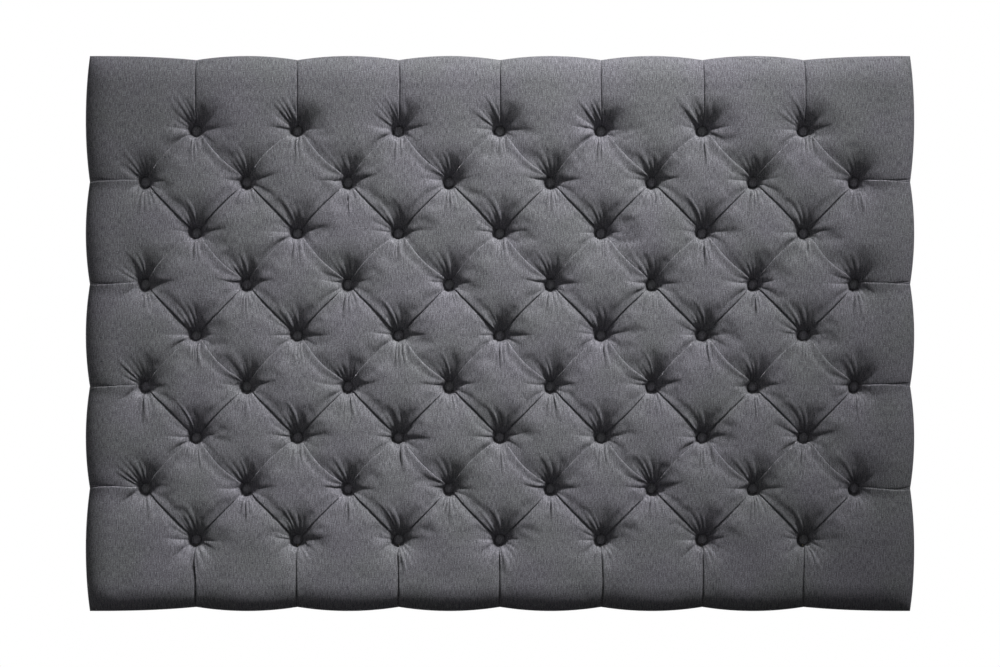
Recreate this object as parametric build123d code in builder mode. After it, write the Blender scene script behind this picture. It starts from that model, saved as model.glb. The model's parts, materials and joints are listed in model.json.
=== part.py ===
from build123d import *
import os
from math import atan2, cos, hypot, sin

# A deep-buttoned upholstered headboard panel, in millimetres.
# X runs along the headboard, Z is up and the tufted face looks towards -Y.
# The origin is the middle of the four strut bolt holes, on the back plane of the timber frame.
# A level is a distance in front of that back plane, and across and up are measured on the panel.

# Tufting: rows of buttons, every other row one button shorter and moved by half a pitch
button_pitch = 222.0
row_rise = 112.0
long_row_buttons = 8
long_rows = 4
side_margin = 123.0
top_margin = 156.0
bottom_margin = 148.0
tuft_depth = 50.0
crease_depth = 22.0
pleat_depth = 12.0
shoulder_facets = 3
seat_wadding = 3.0

# Dimples: four-sided funnels that draw the corners of four pillows down to each button
dimple_mouth_across = 74.0
dimple_waist_across = 35.0
dimple_waist_depth_share = 0.4

# Cover: lobes between the pleats, rolled front edges, skin round the sides and a turned hem
lobe = 9.0
corner_lobe_share = 0.3
edge_roll_depth = 44.0
edge_roll_reach = 62.0
cover_skin = 4.0
hem_width = 36.0
hem_thickness = 1.5
overrun = 10.0

# Covered buttons, held back by twine that is stapled behind the board
button_sides = 8
button_radius = 11.0
button_height = 8.0
button_rim_share = 0.4
button_top_share = 0.55
button_clearance = 0.3
button_seat_margin = 1.5
twine_thickness = 2.0
twine_hole = 3.0
twine_end = 1.0

# Padding behind the cover
foam_thickness = 27.0
foam_slit = 10.0
edge_foam_thickness = 16.0

# Board and timber frame, with half-lap joints
board_thickness = 12.0
board_hole = 8.0
timber_width = 45.0
timber_depth = 21.0
strut_stile_bays_share = 2.25

# Strut fixing: four sleeved tee nuts let into the strut stiles from the front, as deep as the timber
strut_bolt_rise = 200.0
strut_bolts_above_bottom = 250.0
strut_bolt_hole_radius = 4.2
tee_nut_sides = 6
tee_nut_barrel_radius = 5.6
tee_nut_flange_radius = 11.0
tee_nut_flange_thickness = 1.5

# Wall hangers: flush steel plates with a keyhole, screwed to the top rail
hanger_bays_share = 2.5
hanger_width = 60.0
hanger_height = 30.0
hanger_thickness = 2.0
hanger_screw_inset = 7.0
keyhole_head_radius = 5.5
keyhole_slot_radius = 2.75
keyhole_drop = 12.0
hanger_relief_margin = 2.0
hanger_relief_depth = 8.0
hanger_below_hem = 2.0

# Countersunk screws
screw_sides = 6
screw_radius = 2.0
screw_head_radius = 4.0
screw_head_height = 2.4
screw_length = 18.0

# Staples
staple_crown = 10.0
staple_wire = 1.0
staple_pitch = 222.0
hem_staple_inset = 28.0
lining_staple_inset = 30.0

# Back lining
lining_thickness = 0.8
lining_inset = 22.0
lining_cut_out = 18.0

# Sizes of the tufting and of the whole panel
half_pitch = button_pitch / 2
long_row_span = button_pitch * (long_row_buttons - 1)
rows_span = 2 * row_rise * long_rows
panel_width = long_row_span + 2 * side_margin
panel_height = rows_span + top_margin + bottom_margin
panel_centre_up = panel_height / 2 - strut_bolts_above_bottom
tufts_up = (bottom_margin - top_margin) / 2

# Levels, from the frame to the crown of the pillows
foam_back = timber_depth + board_thickness
foam_front = foam_back + foam_thickness
button_seat = foam_front + seat_wadding
crown_level = button_seat + tuft_depth
lining_front = -hem_thickness - staple_wire
lining_back = lining_front - lining_thickness
hanger_back = lining_back - hanger_thickness

# Sizes of what the cover holds
pocket_width = panel_width - 2 * cover_skin
pocket_height = panel_height - 2 * cover_skin
frame_width = pocket_width - 2 * edge_foam_thickness
frame_height = pocket_height - 2 * edge_foam_thickness

# Middles of the frame's timbers
side_stile_across = (frame_width - timber_width) / 2
strut_stile_across = button_pitch * strut_stile_bays_share
stile_places = (-side_stile_across, -strut_stile_across, strut_stile_across, side_stile_across)
end_rail_up = (frame_height - timber_width) / 2
mid_rail_up = tufts_up - row_rise / 2
rail_places = (end_rail_up, mid_rail_up, -end_rail_up)


def panel_plane(level):
    """The plane at a level, centred on the panel, whose normal points out of the tufted face."""
    return Plane(origin=(0, -level, panel_centre_up), x_dir=(1, 0, 0), z_dir=(0, -1, 0))


def panel_spot(across, up, level=0.0):
    """A point given by its place on the panel and its level."""
    return (across, -level, panel_centre_up + up)


def even_places(count, pitch, middle=0.0):
    """Places along a line, at one pitch, about a middle."""
    return [middle + (index - (count - 1) / 2) * pitch for index in range(count)]


def mirrored(shape, plane):
    """The same piece for the opposite edge of the panel."""
    with BuildPart() as opposite:
        mirror(shape, about=plane)
    return opposite.part


# Places of the buttons
long_columns = even_places(long_row_buttons, button_pitch)
short_columns = even_places(long_row_buttons - 1, button_pitch)
long_levels = even_places(long_rows, 2 * row_rise, tufts_up)
short_levels = even_places(long_rows + 1, 2 * row_rise, tufts_up)
button_places = [(across, up) for up in long_levels for across in long_columns]
button_places += [(across, up) for up in short_levels for across in short_columns]


def shoulder_profile(plane, drop, reach, facets):
    """Side view of stuffing beside a line: it swells from the line to the crown, then runs level.

    The swell is an arc that ends level at the crown, or that many straight facets of the arc.
    """
    low = crown_level - drop
    swell = (reach**2 + drop**2) / (2 * drop)
    turn = 2 * atan2(drop, reach)
    with BuildSketch(plane) as profile:
        with BuildLine():
            if facets:
                angles = [turn * (facets - step) / facets for step in range(facets + 1)]
                Polyline(*[
                    (reach - swell * sin(angle), crown_level - swell * (1 - cos(angle)))
                    for angle in angles
                ])
            else:
                RadiusArc((0, low), (reach, crown_level), swell)
            Polyline((reach, crown_level), (shoulder_run, crown_level), (shoulder_run, 0), (0, 0), (0, low))
        make_face()
    return profile.sketch


def shoulder(start, end, drop, reach, facets=0):
    """Stuffing on the left of the line from start to end, run on past both of its ends."""
    run = hypot(end[0] - start[0], end[1] - start[1])
    along = Vector((end[0] - start[0]) / run, 0, (end[1] - start[1]) / run)
    first = Plane(
        origin=Vector(start[0], 0, start[1]) - along * shoulder_run,
        x_dir=(-along.Z, 0, along.X),
        z_dir=along,
    )
    last = first.offset(run + 2 * shoulder_run)
    with BuildPart() as stuffing:
        ends = [shoulder_profile(plane, drop, reach, facets) for plane in (first, last)]
        loft(sections=ends, ruled=True)
    return stuffing.part


def pillow(outline, sewn_sides):
    """One pillow of the tufting: its outline, brought down along each of its sewn sides."""
    with BuildPart() as stuffed:
        with BuildSketch(Plane.XZ.offset(foam_front)):
            with BuildLine():
                Polyline(*outline, close=True)
            make_face()
        extrude(amount=crown_level - foam_front)
        for start, end, drop, reach in sewn_sides:
            add(shoulder(start, end, drop, reach, shoulder_facets), mode=Mode.INTERSECT)
    return stuffed.part


# Pillows, each about a place on the button grid: a diamond, and those at the top, left and top left
shoulder_run = panel_width + panel_height
crease_reach = half_pitch * row_rise / hypot(half_pitch, row_rise)
upper_edge = max(top_margin, bottom_margin) + lobe + overrun
outer_edge = -(side_margin + lobe + overrun)
left, right, low, high = (-half_pitch, 0), (half_pitch, 0), (0, -row_rise), (0, row_rise)

diamond = pillow(
    [left, low, right, high],
    [
        (left, low, crease_depth, crease_reach),
        (low, right, crease_depth, crease_reach),
        (right, high, crease_depth, crease_reach),
        (high, left, crease_depth, crease_reach),
    ],
)

left_upper, right_upper = (-half_pitch, upper_edge), (half_pitch, upper_edge)
top_pillow = pillow(
    [left, low, right, right_upper, left_upper],
    [
        (left, low, crease_depth, crease_reach),
        (low, right, crease_depth, crease_reach),
        (right, right_upper, pleat_depth, half_pitch),
        (left_upper, left, pleat_depth, half_pitch),
    ],
)

outer_low, outer_high = (outer_edge, -row_rise), (outer_edge, row_rise)
left_pillow = pillow(
    [outer_low, low, right, high, outer_high],
    [
        (outer_low, low, pleat_depth, row_rise),
        (low, right, crease_depth, crease_reach),
        (right, high, crease_depth, crease_reach),
        (high, outer_high, pleat_depth, row_rise),
    ],
)

side_button, side_edge = (0, 0), (outer_edge, 0)
top_button, top_edge = (half_pitch, row_rise), (half_pitch, row_rise + upper_edge)
top_left_pillow = pillow(
    [side_edge, side_button, top_button, top_edge, (outer_edge, row_rise + upper_edge)],
    [
        (side_edge, side_button, pleat_depth, row_rise),
        (side_button, top_button, crease_depth, crease_reach),
        (top_button, top_edge, pleat_depth, half_pitch),
    ],
)
bottom_left_pillow = mirrored(top_left_pillow, Plane.XY)

pillow_groups = [
    (diamond, short_columns, long_levels),
    (diamond, long_columns[1:-1], short_levels[1:-1]),
    (top_pillow, long_columns[1:-1], short_levels[-1:]),
    (mirrored(top_pillow, Plane.XY), long_columns[1:-1], short_levels[:1]),
    (left_pillow, long_columns[:1], short_levels[1:-1]),
    (mirrored(left_pillow, Plane.YZ), long_columns[-1:], short_levels[1:-1]),
    (top_left_pillow, long_columns[:1], long_levels[-1:]),
    (mirrored(top_left_pillow, Plane.YZ), long_columns[-1:], long_levels[-1:]),
    (bottom_left_pillow, long_columns[:1], long_levels[:1]),
    (mirrored(bottom_left_pillow, Plane.YZ), long_columns[-1:], long_levels[:1]),
]

# Outline of the cover, pinched at each pleat, with lobes between
edge_across, edge_up, corner_up = panel_width / 2, panel_height / 2, panel_height / 2 + lobe
lobes = []
for side in (-1, 1):
    corner, other_corner = (-edge_across, side * corner_up), (edge_across, side * corner_up)
    notches = [corner] + [(across, side * edge_up) for across in short_columns] + [other_corner]
    lobes += [(start, end, (0, side)) for start, end in zip(notches, notches[1:])]
    corner, other_corner = (side * edge_across, -corner_up), (side * edge_across, corner_up)
    notches = [corner] + [(side * edge_across, up) for up in long_levels] + [other_corner]
    lobes += [(start, end, (side, 0)) for start, end in zip(notches, notches[1:])]

with BuildSketch() as outline:
    with BuildLine():
        for start, end, outwards in lobes:
            at_corner = corner_up in (abs(start[1]), abs(end[1])) and outwards[0] == 0
            bulge = lobe * (corner_lobe_share if at_corner else 1)
            middle = tuple((start[axis] + end[axis]) / 2 + bulge * outwards[axis] for axis in (0, 1))
            ThreePointArc(start, middle, end)
    make_face()

# The outline brought to the crown, with all four front edges rolled over
roll_left, roll_right = -edge_across - lobe, edge_across + lobe
roll_low, roll_high = panel_centre_up - corner_up, panel_centre_up + corner_up
roll_corners = [(roll_left, roll_low), (roll_right, roll_low), (roll_right, roll_high), (roll_left, roll_high)]
with BuildPart() as rolled_panel:
    with BuildSketch(panel_plane(0)):
        add(outline.sketch)
    extrude(amount=crown_level)
    for start, end in zip(roll_corners, roll_corners[1:] + roll_corners[:1]):
        add(shoulder(start, end, edge_roll_depth, edge_roll_reach), mode=Mode.INTERSECT)

# One dimple: a funnel of two slopes, cut as wide across as up in the grid's own proportion
waist_level = crown_level - tuft_depth * dimple_waist_depth_share
dimple_flank = [
    (button_radius + button_seat_margin, button_seat),
    (dimple_waist_across, waist_level),
    (dimple_mouth_across, crown_level),
]
dimple_outline = [*dimple_flank, *[(-across, level) for across, level in reversed(dimple_flank)]]
dimple_length = 2 * dimple_mouth_across
with BuildPart() as dimple:
    with BuildSketch(Plane.XY.offset(-dimple_length / 2)):
        with BuildLine():
            Polyline(*[(across, -level) for across, level in dimple_outline], close=True)
        make_face()
    extrude(amount=dimple_length)
    with BuildSketch(Plane.YZ.offset(-dimple_length / 2)):
        with BuildLine():
            upright_outline = [(-level, across * row_rise / half_pitch) for across, level in dimple_outline]
            Polyline(*upright_outline, close=True)
        make_face()
    extrude(amount=dimple_length, mode=Mode.INTERSECT)

# Tufted cover: fabric and the wadding quilted to it, open at the back round the padding and frame
with BuildPart() as tufted_cover:
    for shape, columns, rows in pillow_groups:
        with Locations(*[panel_spot(across, up) for up in rows for across in columns]):
            add(shape)
    add(rolled_panel.part, mode=Mode.INTERSECT)
    with Locations(*[panel_spot(across, up) for across, up in button_places]):
        add(dimple.part, mode=Mode.SUBTRACT)
    with BuildSketch(panel_plane(-hem_thickness)):
        add(outline.sketch)
        Rectangle(panel_width - 2 * hem_width, panel_height - 2 * hem_width, mode=Mode.SUBTRACT)
    extrude(amount=hem_thickness)
    with BuildSketch(panel_plane(0)):
        add(outline.sketch)
        Rectangle(pocket_width, pocket_height, mode=Mode.SUBTRACT)
    extrude(amount=foam_front)
    with BuildSketch(panel_plane(foam_front)):
        with Locations(*button_places):
            Rectangle(twine_hole, twine_hole)
    extrude(amount=seat_wadding, mode=Mode.SUBTRACT)
tufted_cover.part.label = "tufted_cover"

# Foam slab with a slit at each button, and a strip of foam along each side of the frame
with BuildPart() as foam_core:
    with BuildSketch(panel_plane(foam_back)):
        Rectangle(frame_width, frame_height)
        with Locations(*button_places):
            Rectangle(foam_slit, foam_slit, mode=Mode.SUBTRACT)
    extrude(amount=foam_thickness)
foam_core.part.label = "foam_core"


def edge_foam(across, up, width, height, label):
    """A strip of foam between the frame and the cover."""
    with BuildPart() as strip:
        with BuildSketch(panel_plane(0)):
            with Locations((across, up)):
                Rectangle(width, height)
        extrude(amount=foam_front)
    strip.part.label = label
    return strip.part


foam_across = (frame_width + edge_foam_thickness) / 2
foam_up = (frame_height + edge_foam_thickness) / 2
edge_foams = [
    edge_foam(0, foam_up, pocket_width, edge_foam_thickness, "edge_foam_top"),
    edge_foam(0, -foam_up, pocket_width, edge_foam_thickness, "edge_foam_bottom"),
    edge_foam(-foam_across, 0, edge_foam_thickness, frame_height, "edge_foam_left"),
    edge_foam(foam_across, 0, edge_foam_thickness, frame_height, "edge_foam_right"),
]


# One countersunk screw, driven towards the front, its head flush with level zero
with BuildPart() as screw:
    with BuildSketch(Plane.XZ):
        RegularPolygon(radius=screw_head_radius, side_count=screw_sides)
    with BuildSketch(Plane.XZ.offset(screw_head_height)):
        RegularPolygon(radius=screw_radius, side_count=screw_sides)
    loft(ruled=True)
    with BuildSketch(Plane.XZ.offset(screw_head_height)):
        RegularPolygon(radius=screw_radius, side_count=screw_sides)
    extrude(amount=screw_length - screw_head_height)


def group(shape, spots):
    """Copies of one small piece, kept as separate solids."""
    with BuildPart() as copies:
        with Locations(*spots):
            add(shape)
    return copies.part


# A screw at each lap of the frame
lap_screws = group(screw.part, [panel_spot(across, up) for across in stile_places for up in rail_places])
lap_screws.label = "lap_screws"

# Wall hangers, flush plates on the lining behind the top rail, each over a relief in the rail
hanger_across = button_pitch * hanger_bays_share
hanger_up = panel_height / 2 - hem_width - hanger_below_hem - hanger_height / 2
hanger_places = [(-hanger_across, hanger_up), (hanger_across, hanger_up)]
keyhole_half_drop = keyhole_drop / 2
relief_width = 2 * (keyhole_head_radius + hanger_relief_margin)
relief_top = keyhole_half_drop + keyhole_slot_radius + hanger_relief_margin
relief_bottom = -keyhole_half_drop - keyhole_head_radius - hanger_relief_margin
relief_height = relief_top - relief_bottom
relief_places = [(across, up + (relief_top + relief_bottom) / 2) for across, up in hanger_places]
hanger_screw_across = hanger_width / 2 - hanger_screw_inset
hanger_screw_spots = [
    panel_spot(across + side * hanger_screw_across, up, hanger_back)
    for across, up in hanger_places
    for side in (-1, 1)
]
hanger_screws = group(screw.part, hanger_screw_spots)
hanger_screws.label = "hanger_screws"

with BuildPart() as hanger_plates:
    with BuildSketch(panel_plane(hanger_back)):
        with Locations(*hanger_places):
            plates = Rectangle(hanger_width, hanger_height)
        chamfer(plates.vertices(), length=hanger_screw_inset / 2)
        with Locations(*hanger_places):
            with Locations((0, -keyhole_half_drop)):
                Circle(keyhole_head_radius, mode=Mode.SUBTRACT)
            SlotCenterToCenter(keyhole_drop, 2 * keyhole_slot_radius, rotation=90, mode=Mode.SUBTRACT)
    extrude(amount=hanger_thickness)
    add(hanger_screws, mode=Mode.SUBTRACT)
hanger_plates.part.label = "hanger_plates"

# Board with a hole for each button's twine
with BuildPart() as plywood_board:
    with BuildSketch(panel_plane(timber_depth)):
        Rectangle(frame_width, frame_height)
        with Locations(*button_places):
            Rectangle(board_hole, board_hole, mode=Mode.SUBTRACT)
    extrude(amount=board_thickness)
plywood_board.part.label = "plywood_board"


def timber(across, up, width, height, laps, lap_level, label):
    """One length of the frame, halved where it crosses another, with its screw holes."""
    with BuildPart() as length:
        with BuildSketch(panel_plane(0)):
            with Locations((across, up)):
                Rectangle(width, height)
        extrude(amount=timber_depth)
        with BuildSketch(panel_plane(lap_level)):
            with Locations(*laps):
                Rectangle(timber_width, timber_width)
        extrude(amount=timber_depth / 2, mode=Mode.SUBTRACT)
        add(lap_screws, mode=Mode.SUBTRACT)
    length.part.label = label
    return length.part


def rail(up, label):
    """A horizontal timber, halved at its front."""
    laps = [(across, up) for across in stile_places]
    return timber(0, up, frame_width, timber_width, laps, timber_depth / 2, label)


def stile(across, label):
    """An upright timber, halved at its back."""
    laps = [(across, up) for up in rail_places]
    return timber(across, 0, timber_width, frame_height, laps, 0, label)


with BuildPart() as top_rail:
    add(rail(end_rail_up, "top_rail"))
    with BuildSketch(panel_plane(0)):
        with Locations(*relief_places):
            Rectangle(relief_width, relief_height)
    extrude(amount=hanger_relief_depth, mode=Mode.SUBTRACT)
    add(hanger_screws, mode=Mode.SUBTRACT)
top_rail.part.label = "top_rail"

mid_rail = rail(mid_rail_up, "mid_rail")
bottom_rail = rail(-end_rail_up, "bottom_rail")

left_stile = stile(-side_stile_across, "left_stile")
right_stile = stile(side_stile_across, "right_stile")

# Strut fixing: a tee nut in each of the four holes of the strut stiles
bolt_places = [
    (side * strut_stile_across, end * strut_bolt_rise / 2 - panel_centre_up)
    for side in (-1, 1)
    for end in (-1, 1)
]
with BuildPart() as tee_nut_seats:
    with BuildSketch(panel_plane(0)):
        with Locations(*bolt_places):
            RegularPolygon(radius=tee_nut_barrel_radius, side_count=tee_nut_sides)
    extrude(amount=timber_depth)
    with BuildSketch(panel_plane(timber_depth - tee_nut_flange_thickness)):
        with Locations(*bolt_places):
            RegularPolygon(radius=tee_nut_flange_radius, side_count=tee_nut_sides)
    extrude(amount=tee_nut_flange_thickness)

with BuildPart() as tee_nuts:
    add(tee_nut_seats.part)
    with BuildSketch(panel_plane(0)):
        with Locations(*bolt_places):
            Circle(strut_bolt_hole_radius)
    extrude(amount=timber_depth, mode=Mode.SUBTRACT)
tee_nuts.part.label = "tee_nuts"


def strut_stile(across, label):
    """An upright timber that carries two of the tee nuts."""
    with BuildPart() as upright:
        add(stile(across, label))
        add(tee_nut_seats.part, mode=Mode.SUBTRACT)
    upright.part.label = label
    return upright.part


left_strut_stile = strut_stile(-strut_stile_across, "left_strut_stile")
right_strut_stile = strut_stile(strut_stile_across, "right_strut_stile")

# Buttons: low domes that sit in the dimples
button_back = button_seat + button_clearance
button_slope = (1 - button_top_share) * button_radius
button_dome = (1 - button_rim_share) * button_height
with BuildPart() as button:
    with BuildSketch(Plane.XZ.offset(button_back)):
        RegularPolygon(radius=button_radius, side_count=button_sides)
    extrude(amount=button_height)
    front_face = button.faces().sort_by(Axis.Y)[0]
    chamfer(front_face.edges(), length=button_dome, length2=button_slope, reference=front_face)
button_spots = [panel_spot(across, up) for across, up in button_places]
buttons = group(button.part, button_spots)
buttons.label = "buttons"

# Twine from each button through foam and board, its end held by a staple behind the board
twine_back = timber_depth - twine_end
with BuildPart() as twine:
    with BuildSketch(Plane.XZ.offset(twine_back)):
        Rectangle(twine_thickness, twine_thickness)
    extrude(amount=button_back - twine_back)
button_twines = group(twine.part, button_spots)
button_twines.label = "button_twines"


def staple_bar(level, upright):
    """The crown of one staple, lying on a level."""
    size = (staple_wire, staple_crown) if upright else (staple_crown, staple_wire)
    with BuildPart() as bar:
        with BuildSketch(Plane.XZ.offset(level)):
            Rectangle(*size)
        extrude(amount=staple_wire)
    return bar.part


def edge_staples(level, inset, label):
    """Staples in a line round the back of the panel, at an inset from its edge."""
    across, up = panel_width / 2 - inset, panel_height / 2 - inset
    level_places = even_places(int(2 * across / staple_pitch), staple_pitch)
    upright_places = even_places(int(2 * up / staple_pitch), staple_pitch)
    level_spots = [panel_spot(place, side * up) for side in (-1, 1) for place in level_places]
    upright_spots = [panel_spot(side * across, place) for side in (-1, 1) for place in upright_places]
    with BuildPart() as staples:
        with Locations(*level_spots):
            add(staple_bar(level, False))
        with Locations(*upright_spots):
            add(staple_bar(level, True))
    staples.part.label = label
    return staples.part


# Staples: across each end of twine, and round the hem and the lining
twine_staples = group(staple_bar(twine_back - staple_wire, False), button_spots)
twine_staples.label = "twine_staples"
hem_staples = edge_staples(-hem_thickness - staple_wire, hem_staple_inset, "hem_staples")
lining_staples = edge_staples(lining_back - staple_wire, lining_staple_inset, "lining_staples")

# Back lining, cut out at the strut bolts and behind the hangers
with BuildPart() as back_lining:
    with BuildSketch(panel_plane(lining_back)):
        Rectangle(panel_width - 2 * lining_inset, panel_height - 2 * lining_inset)
        with Locations(*bolt_places):
            Rectangle(lining_cut_out, lining_cut_out, mode=Mode.SUBTRACT)
        with Locations(*relief_places):
            Rectangle(relief_width, relief_height, mode=Mode.SUBTRACT)
    extrude(amount=lining_thickness)
    add(hanger_screws, mode=Mode.SUBTRACT)
back_lining.part.label = "back_lining"

pieces = [
    tufted_cover.part,
    buttons,
    button_twines,
    twine_staples,
    foam_core.part,
    *edge_foams,
    plywood_board.part,
    top_rail.part,
    mid_rail,
    bottom_rail,
    left_stile,
    right_stile,
    left_strut_stile,
    right_strut_stile,
    lap_screws,
    tee_nuts.part,
    hem_staples,
    back_lining.part,
    lining_staples,
    hanger_plates.part,
    hanger_screws,
]

os.makedirs("parts", exist_ok=True)
for piece in pieces:
    export_step(piece, f"parts/{piece.label}.step")
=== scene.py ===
"""A deep-buttoned headboard panel, dressed over its packed construction.

X runs along the headboard, Z is up and the tufted face looks towards -Y. Sizes are in metres.
On the panel, across and up are measured from its middle, and a level is a distance in front of
the back plane of the timber frame.
"""

import json
import logging
import math
from dataclasses import dataclass, field
from enum import Enum

import bmesh
import bpy
import numpy as np
from mathutils import Matrix, Vector


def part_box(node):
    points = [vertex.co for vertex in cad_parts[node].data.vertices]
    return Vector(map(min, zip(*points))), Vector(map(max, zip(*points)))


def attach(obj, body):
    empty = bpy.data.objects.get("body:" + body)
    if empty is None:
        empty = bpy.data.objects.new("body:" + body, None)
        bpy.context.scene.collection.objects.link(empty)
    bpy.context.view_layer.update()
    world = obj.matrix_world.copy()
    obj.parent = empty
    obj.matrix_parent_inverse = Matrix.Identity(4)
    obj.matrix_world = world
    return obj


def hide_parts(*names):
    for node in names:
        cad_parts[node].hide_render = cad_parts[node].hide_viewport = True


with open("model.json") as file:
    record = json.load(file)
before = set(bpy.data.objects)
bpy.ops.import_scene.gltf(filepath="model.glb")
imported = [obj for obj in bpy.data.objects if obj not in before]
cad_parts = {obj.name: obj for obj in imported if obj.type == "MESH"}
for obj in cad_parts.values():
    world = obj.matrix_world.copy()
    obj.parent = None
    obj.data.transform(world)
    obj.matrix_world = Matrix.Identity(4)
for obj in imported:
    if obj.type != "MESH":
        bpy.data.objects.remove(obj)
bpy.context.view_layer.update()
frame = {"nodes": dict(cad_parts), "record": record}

RAILS = ["top_rail", "mid_rail", "bottom_rail"]
STILES = ["left_stile", "right_stile", "left_strut_stile", "right_strut_stile"]

log = logging.getLogger("headboard")

MM = 0.001
MERGE_DISTANCE = 0.01 * MM

# A Mix node has several sockets of each name, so its colours are reached by number.
COLOUR_A, COLOUR_B, COLOUR_RESULT = 6, 7, 2

# Turns a part that is made along Z to lie along Y, towards the back.
STAND = Matrix.Rotation(math.radians(-90), 4, "X")


def linear(colour: str) -> tuple[float, float, float, float]:
    """Turns an sRGB hex colour into the linear colour that a shader takes.

    Args:
        colour: Six hex digits, such as "55545A".

    Returns:
        Red, green, blue and an alpha of one.
    """
    shares = [int(colour[place:place + 2], 16) / 255 for place in (0, 2, 4)]
    red, green, blue = (s / 12.92 if s <= 0.04045 else ((s + 0.055) / 1.055) ** 2.4 for s in shares)
    return red, green, blue, 1.0


def clear_tree(owner: bpy.types.ID) -> bpy.types.NodeTree:
    """Empties the node tree of a material or a world.

    Args:
        owner: The material or world.

    Returns:
        Its node tree.
    """
    owner.use_nodes = True
    owner.node_tree.nodes.clear()
    return owner.node_tree


def add_node(
    tree: bpy.types.NodeTree,
    kind: str,
    values: dict | None = None,
    links: dict | None = None,
    **settings: object,
) -> bpy.types.Node:
    """Adds one node to a material.

    Args:
        tree: The material's node tree.
        kind: The node's type.
        values: Values of its inputs, by the input's name or number.
        links: What its inputs are linked to, by the input's name or number.
        settings: Its other settings.

    Returns:
        The new node.
    """
    node = tree.nodes.new(kind)
    for name, value in settings.items():
        setattr(node, name, value)
    for socket, value in (values or {}).items():
        node.inputs[socket].default_value = value
    for socket, source in (links or {}).items():
        tree.links.new(source, node.inputs[socket])
    return node


def swell(share: np.ndarray) -> np.ndarray:
    """A smooth step from nought to one, for shares of a way."""
    share = np.clip(share, 0, 1)
    return share * share * (3 - 2 * share)


def hills(
    draws: np.random.Generator, across: np.ndarray, up: np.ndarray, step: float, height: float
) -> np.ndarray:
    """Gives a soft random relief over a grid.

    Args:
        draws: Where the random numbers come from.
        across: The grid's places across.
        up: The grid's places up.
        step: Distance between the hills.
        height: How high they stand.

    Returns:
        A level for each point of the grid.
    """
    along, upward = (across - across[0]) / step, (up - up[0]) / step
    tops = draws.normal(0, height, (int(upward[-1]) + 2, int(along[-1]) + 2))
    left, low = along.astype(int), upward.astype(int)
    right_share, high_share = swell(along - left), swell(upward - low)[:, None]
    low_row, high_row = (
        tops[row][:, left] * (1 - right_share) + tops[row][:, left + 1] * right_share
        for row in (low, low + 1)
    )
    return low_row * (1 - high_share) + high_row * high_share


def islands(node: str) -> list[tuple[Vector, Vector]]:
    """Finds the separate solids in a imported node.

    Args:
        node: The node's name.

    Returns:
        The lowest and highest corner of each solid, in order.
    """
    whole = bmesh.new()
    whole.from_mesh(frame["nodes"][node].data)
    bmesh.ops.remove_doubles(whole, verts=whole.verts, dist=MERGE_DISTANCE)
    found, left = [], set(whole.verts)
    while left:
        group = [left.pop()]
        for vert in group:
            near = {edge.other_vert(vert) for edge in vert.link_edges} & left
            left -= near
            group.extend(near)
        corners = np.array([vert.co for vert in group])
        found.append((Vector(corners.min(axis=0)), Vector(corners.max(axis=0))))
    whole.free()
    return sorted(found, key=lambda corners: tuple(corners[0]))


def as_mesh(name: str, made: bmesh.types.BMesh) -> bpy.types.Mesh:
    """Turns a bmesh into a mesh and frees it.

    Args:
        name: The mesh's name.
        made: The bmesh.

    Returns:
        The mesh.
    """
    mesh = bpy.data.meshes.new(name)
    made.to_mesh(mesh)
    made.free()
    return mesh


def add_object(name: str, data: bpy.types.ID) -> bpy.types.Object:
    """Adds an object to the scene.

    Args:
        name: The object's name.
        data: Its mesh, camera or light.

    Returns:
        The object.
    """
    added = bpy.data.objects.new(name, data)
    bpy.context.scene.collection.objects.link(added)
    return added


def rim_of(made: bmesh.types.BMesh) -> list[bmesh.types.BMEdge]:
    """Gives the edges at the border of an open mesh."""
    return [edge for edge in made.edges if edge.is_boundary]


def ends_of(edges: list[bmesh.types.BMEdge]) -> list[bmesh.types.BMVert]:
    """Gives the vertices of some edges, each once."""
    return list({vert for edge in edges for vert in edge.verts})


def start_ring(radius: float, sides: int) -> tuple[bmesh.types.BMesh, list[bmesh.types.BMEdge]]:
    """Starts a part with an open circle about the origin.

    Args:
        radius: The circle's radius.
        sides: How many edges it has.

    Returns:
        The part and the circle's edges.
    """
    made = bmesh.new()
    bmesh.ops.create_circle(made, segments=sides, radius=radius)
    return made, list(made.edges)


def extrude(
    made: bmesh.types.BMesh, edges: list[bmesh.types.BMEdge], move: tuple
) -> list[bmesh.types.BMEdge]:
    """Extrudes a ring of edges.

    Args:
        made: The part.
        edges: The ring.
        move: How far the new ring lies from it.

    Returns:
        The new ring.
    """
    grown = bmesh.ops.extrude_edge_only(made, edges=edges)["geom"]
    bmesh.ops.translate(made, vec=move, verts=[v for v in grown if isinstance(v, bmesh.types.BMVert)])
    return [e for e in grown if isinstance(e, bmesh.types.BMEdge)]


def flat_grid(columns: int, rows: int) -> bmesh.types.BMesh:
    """Makes a flat square grid, one unit wide, that is shaped later.

    Args:
        columns: How many vertices it has across.
        rows: How many it has up.

    Returns:
        The grid.
    """
    sheet = bmesh.new()
    bmesh.ops.create_grid(sheet, x_segments=columns - 1, y_segments=rows - 1, size=0.5)
    return sheet


def grid_places(mesh: bpy.types.Mesh, columns: int, rows: int) -> list[np.ndarray]:
    """Finds where each vertex belongs in a flat grid, whose third coordinate counts rings beyond it.

    Args:
        mesh: The grid's mesh.
        columns: How many vertices it has across.
        rows: How many it has up.

    Returns:
        The column, the row and the ring of each vertex.
    """
    flat = np.empty(len(mesh.vertices) * 3)
    mesh.vertices.foreach_get("co", flat)
    across, up, beyond = flat.reshape(-1, 3).T
    counts = (across + 0.5) * (columns - 1), (up + 0.5) * (rows - 1), beyond
    return [np.rint(count).astype(int) for count in counts]


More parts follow.
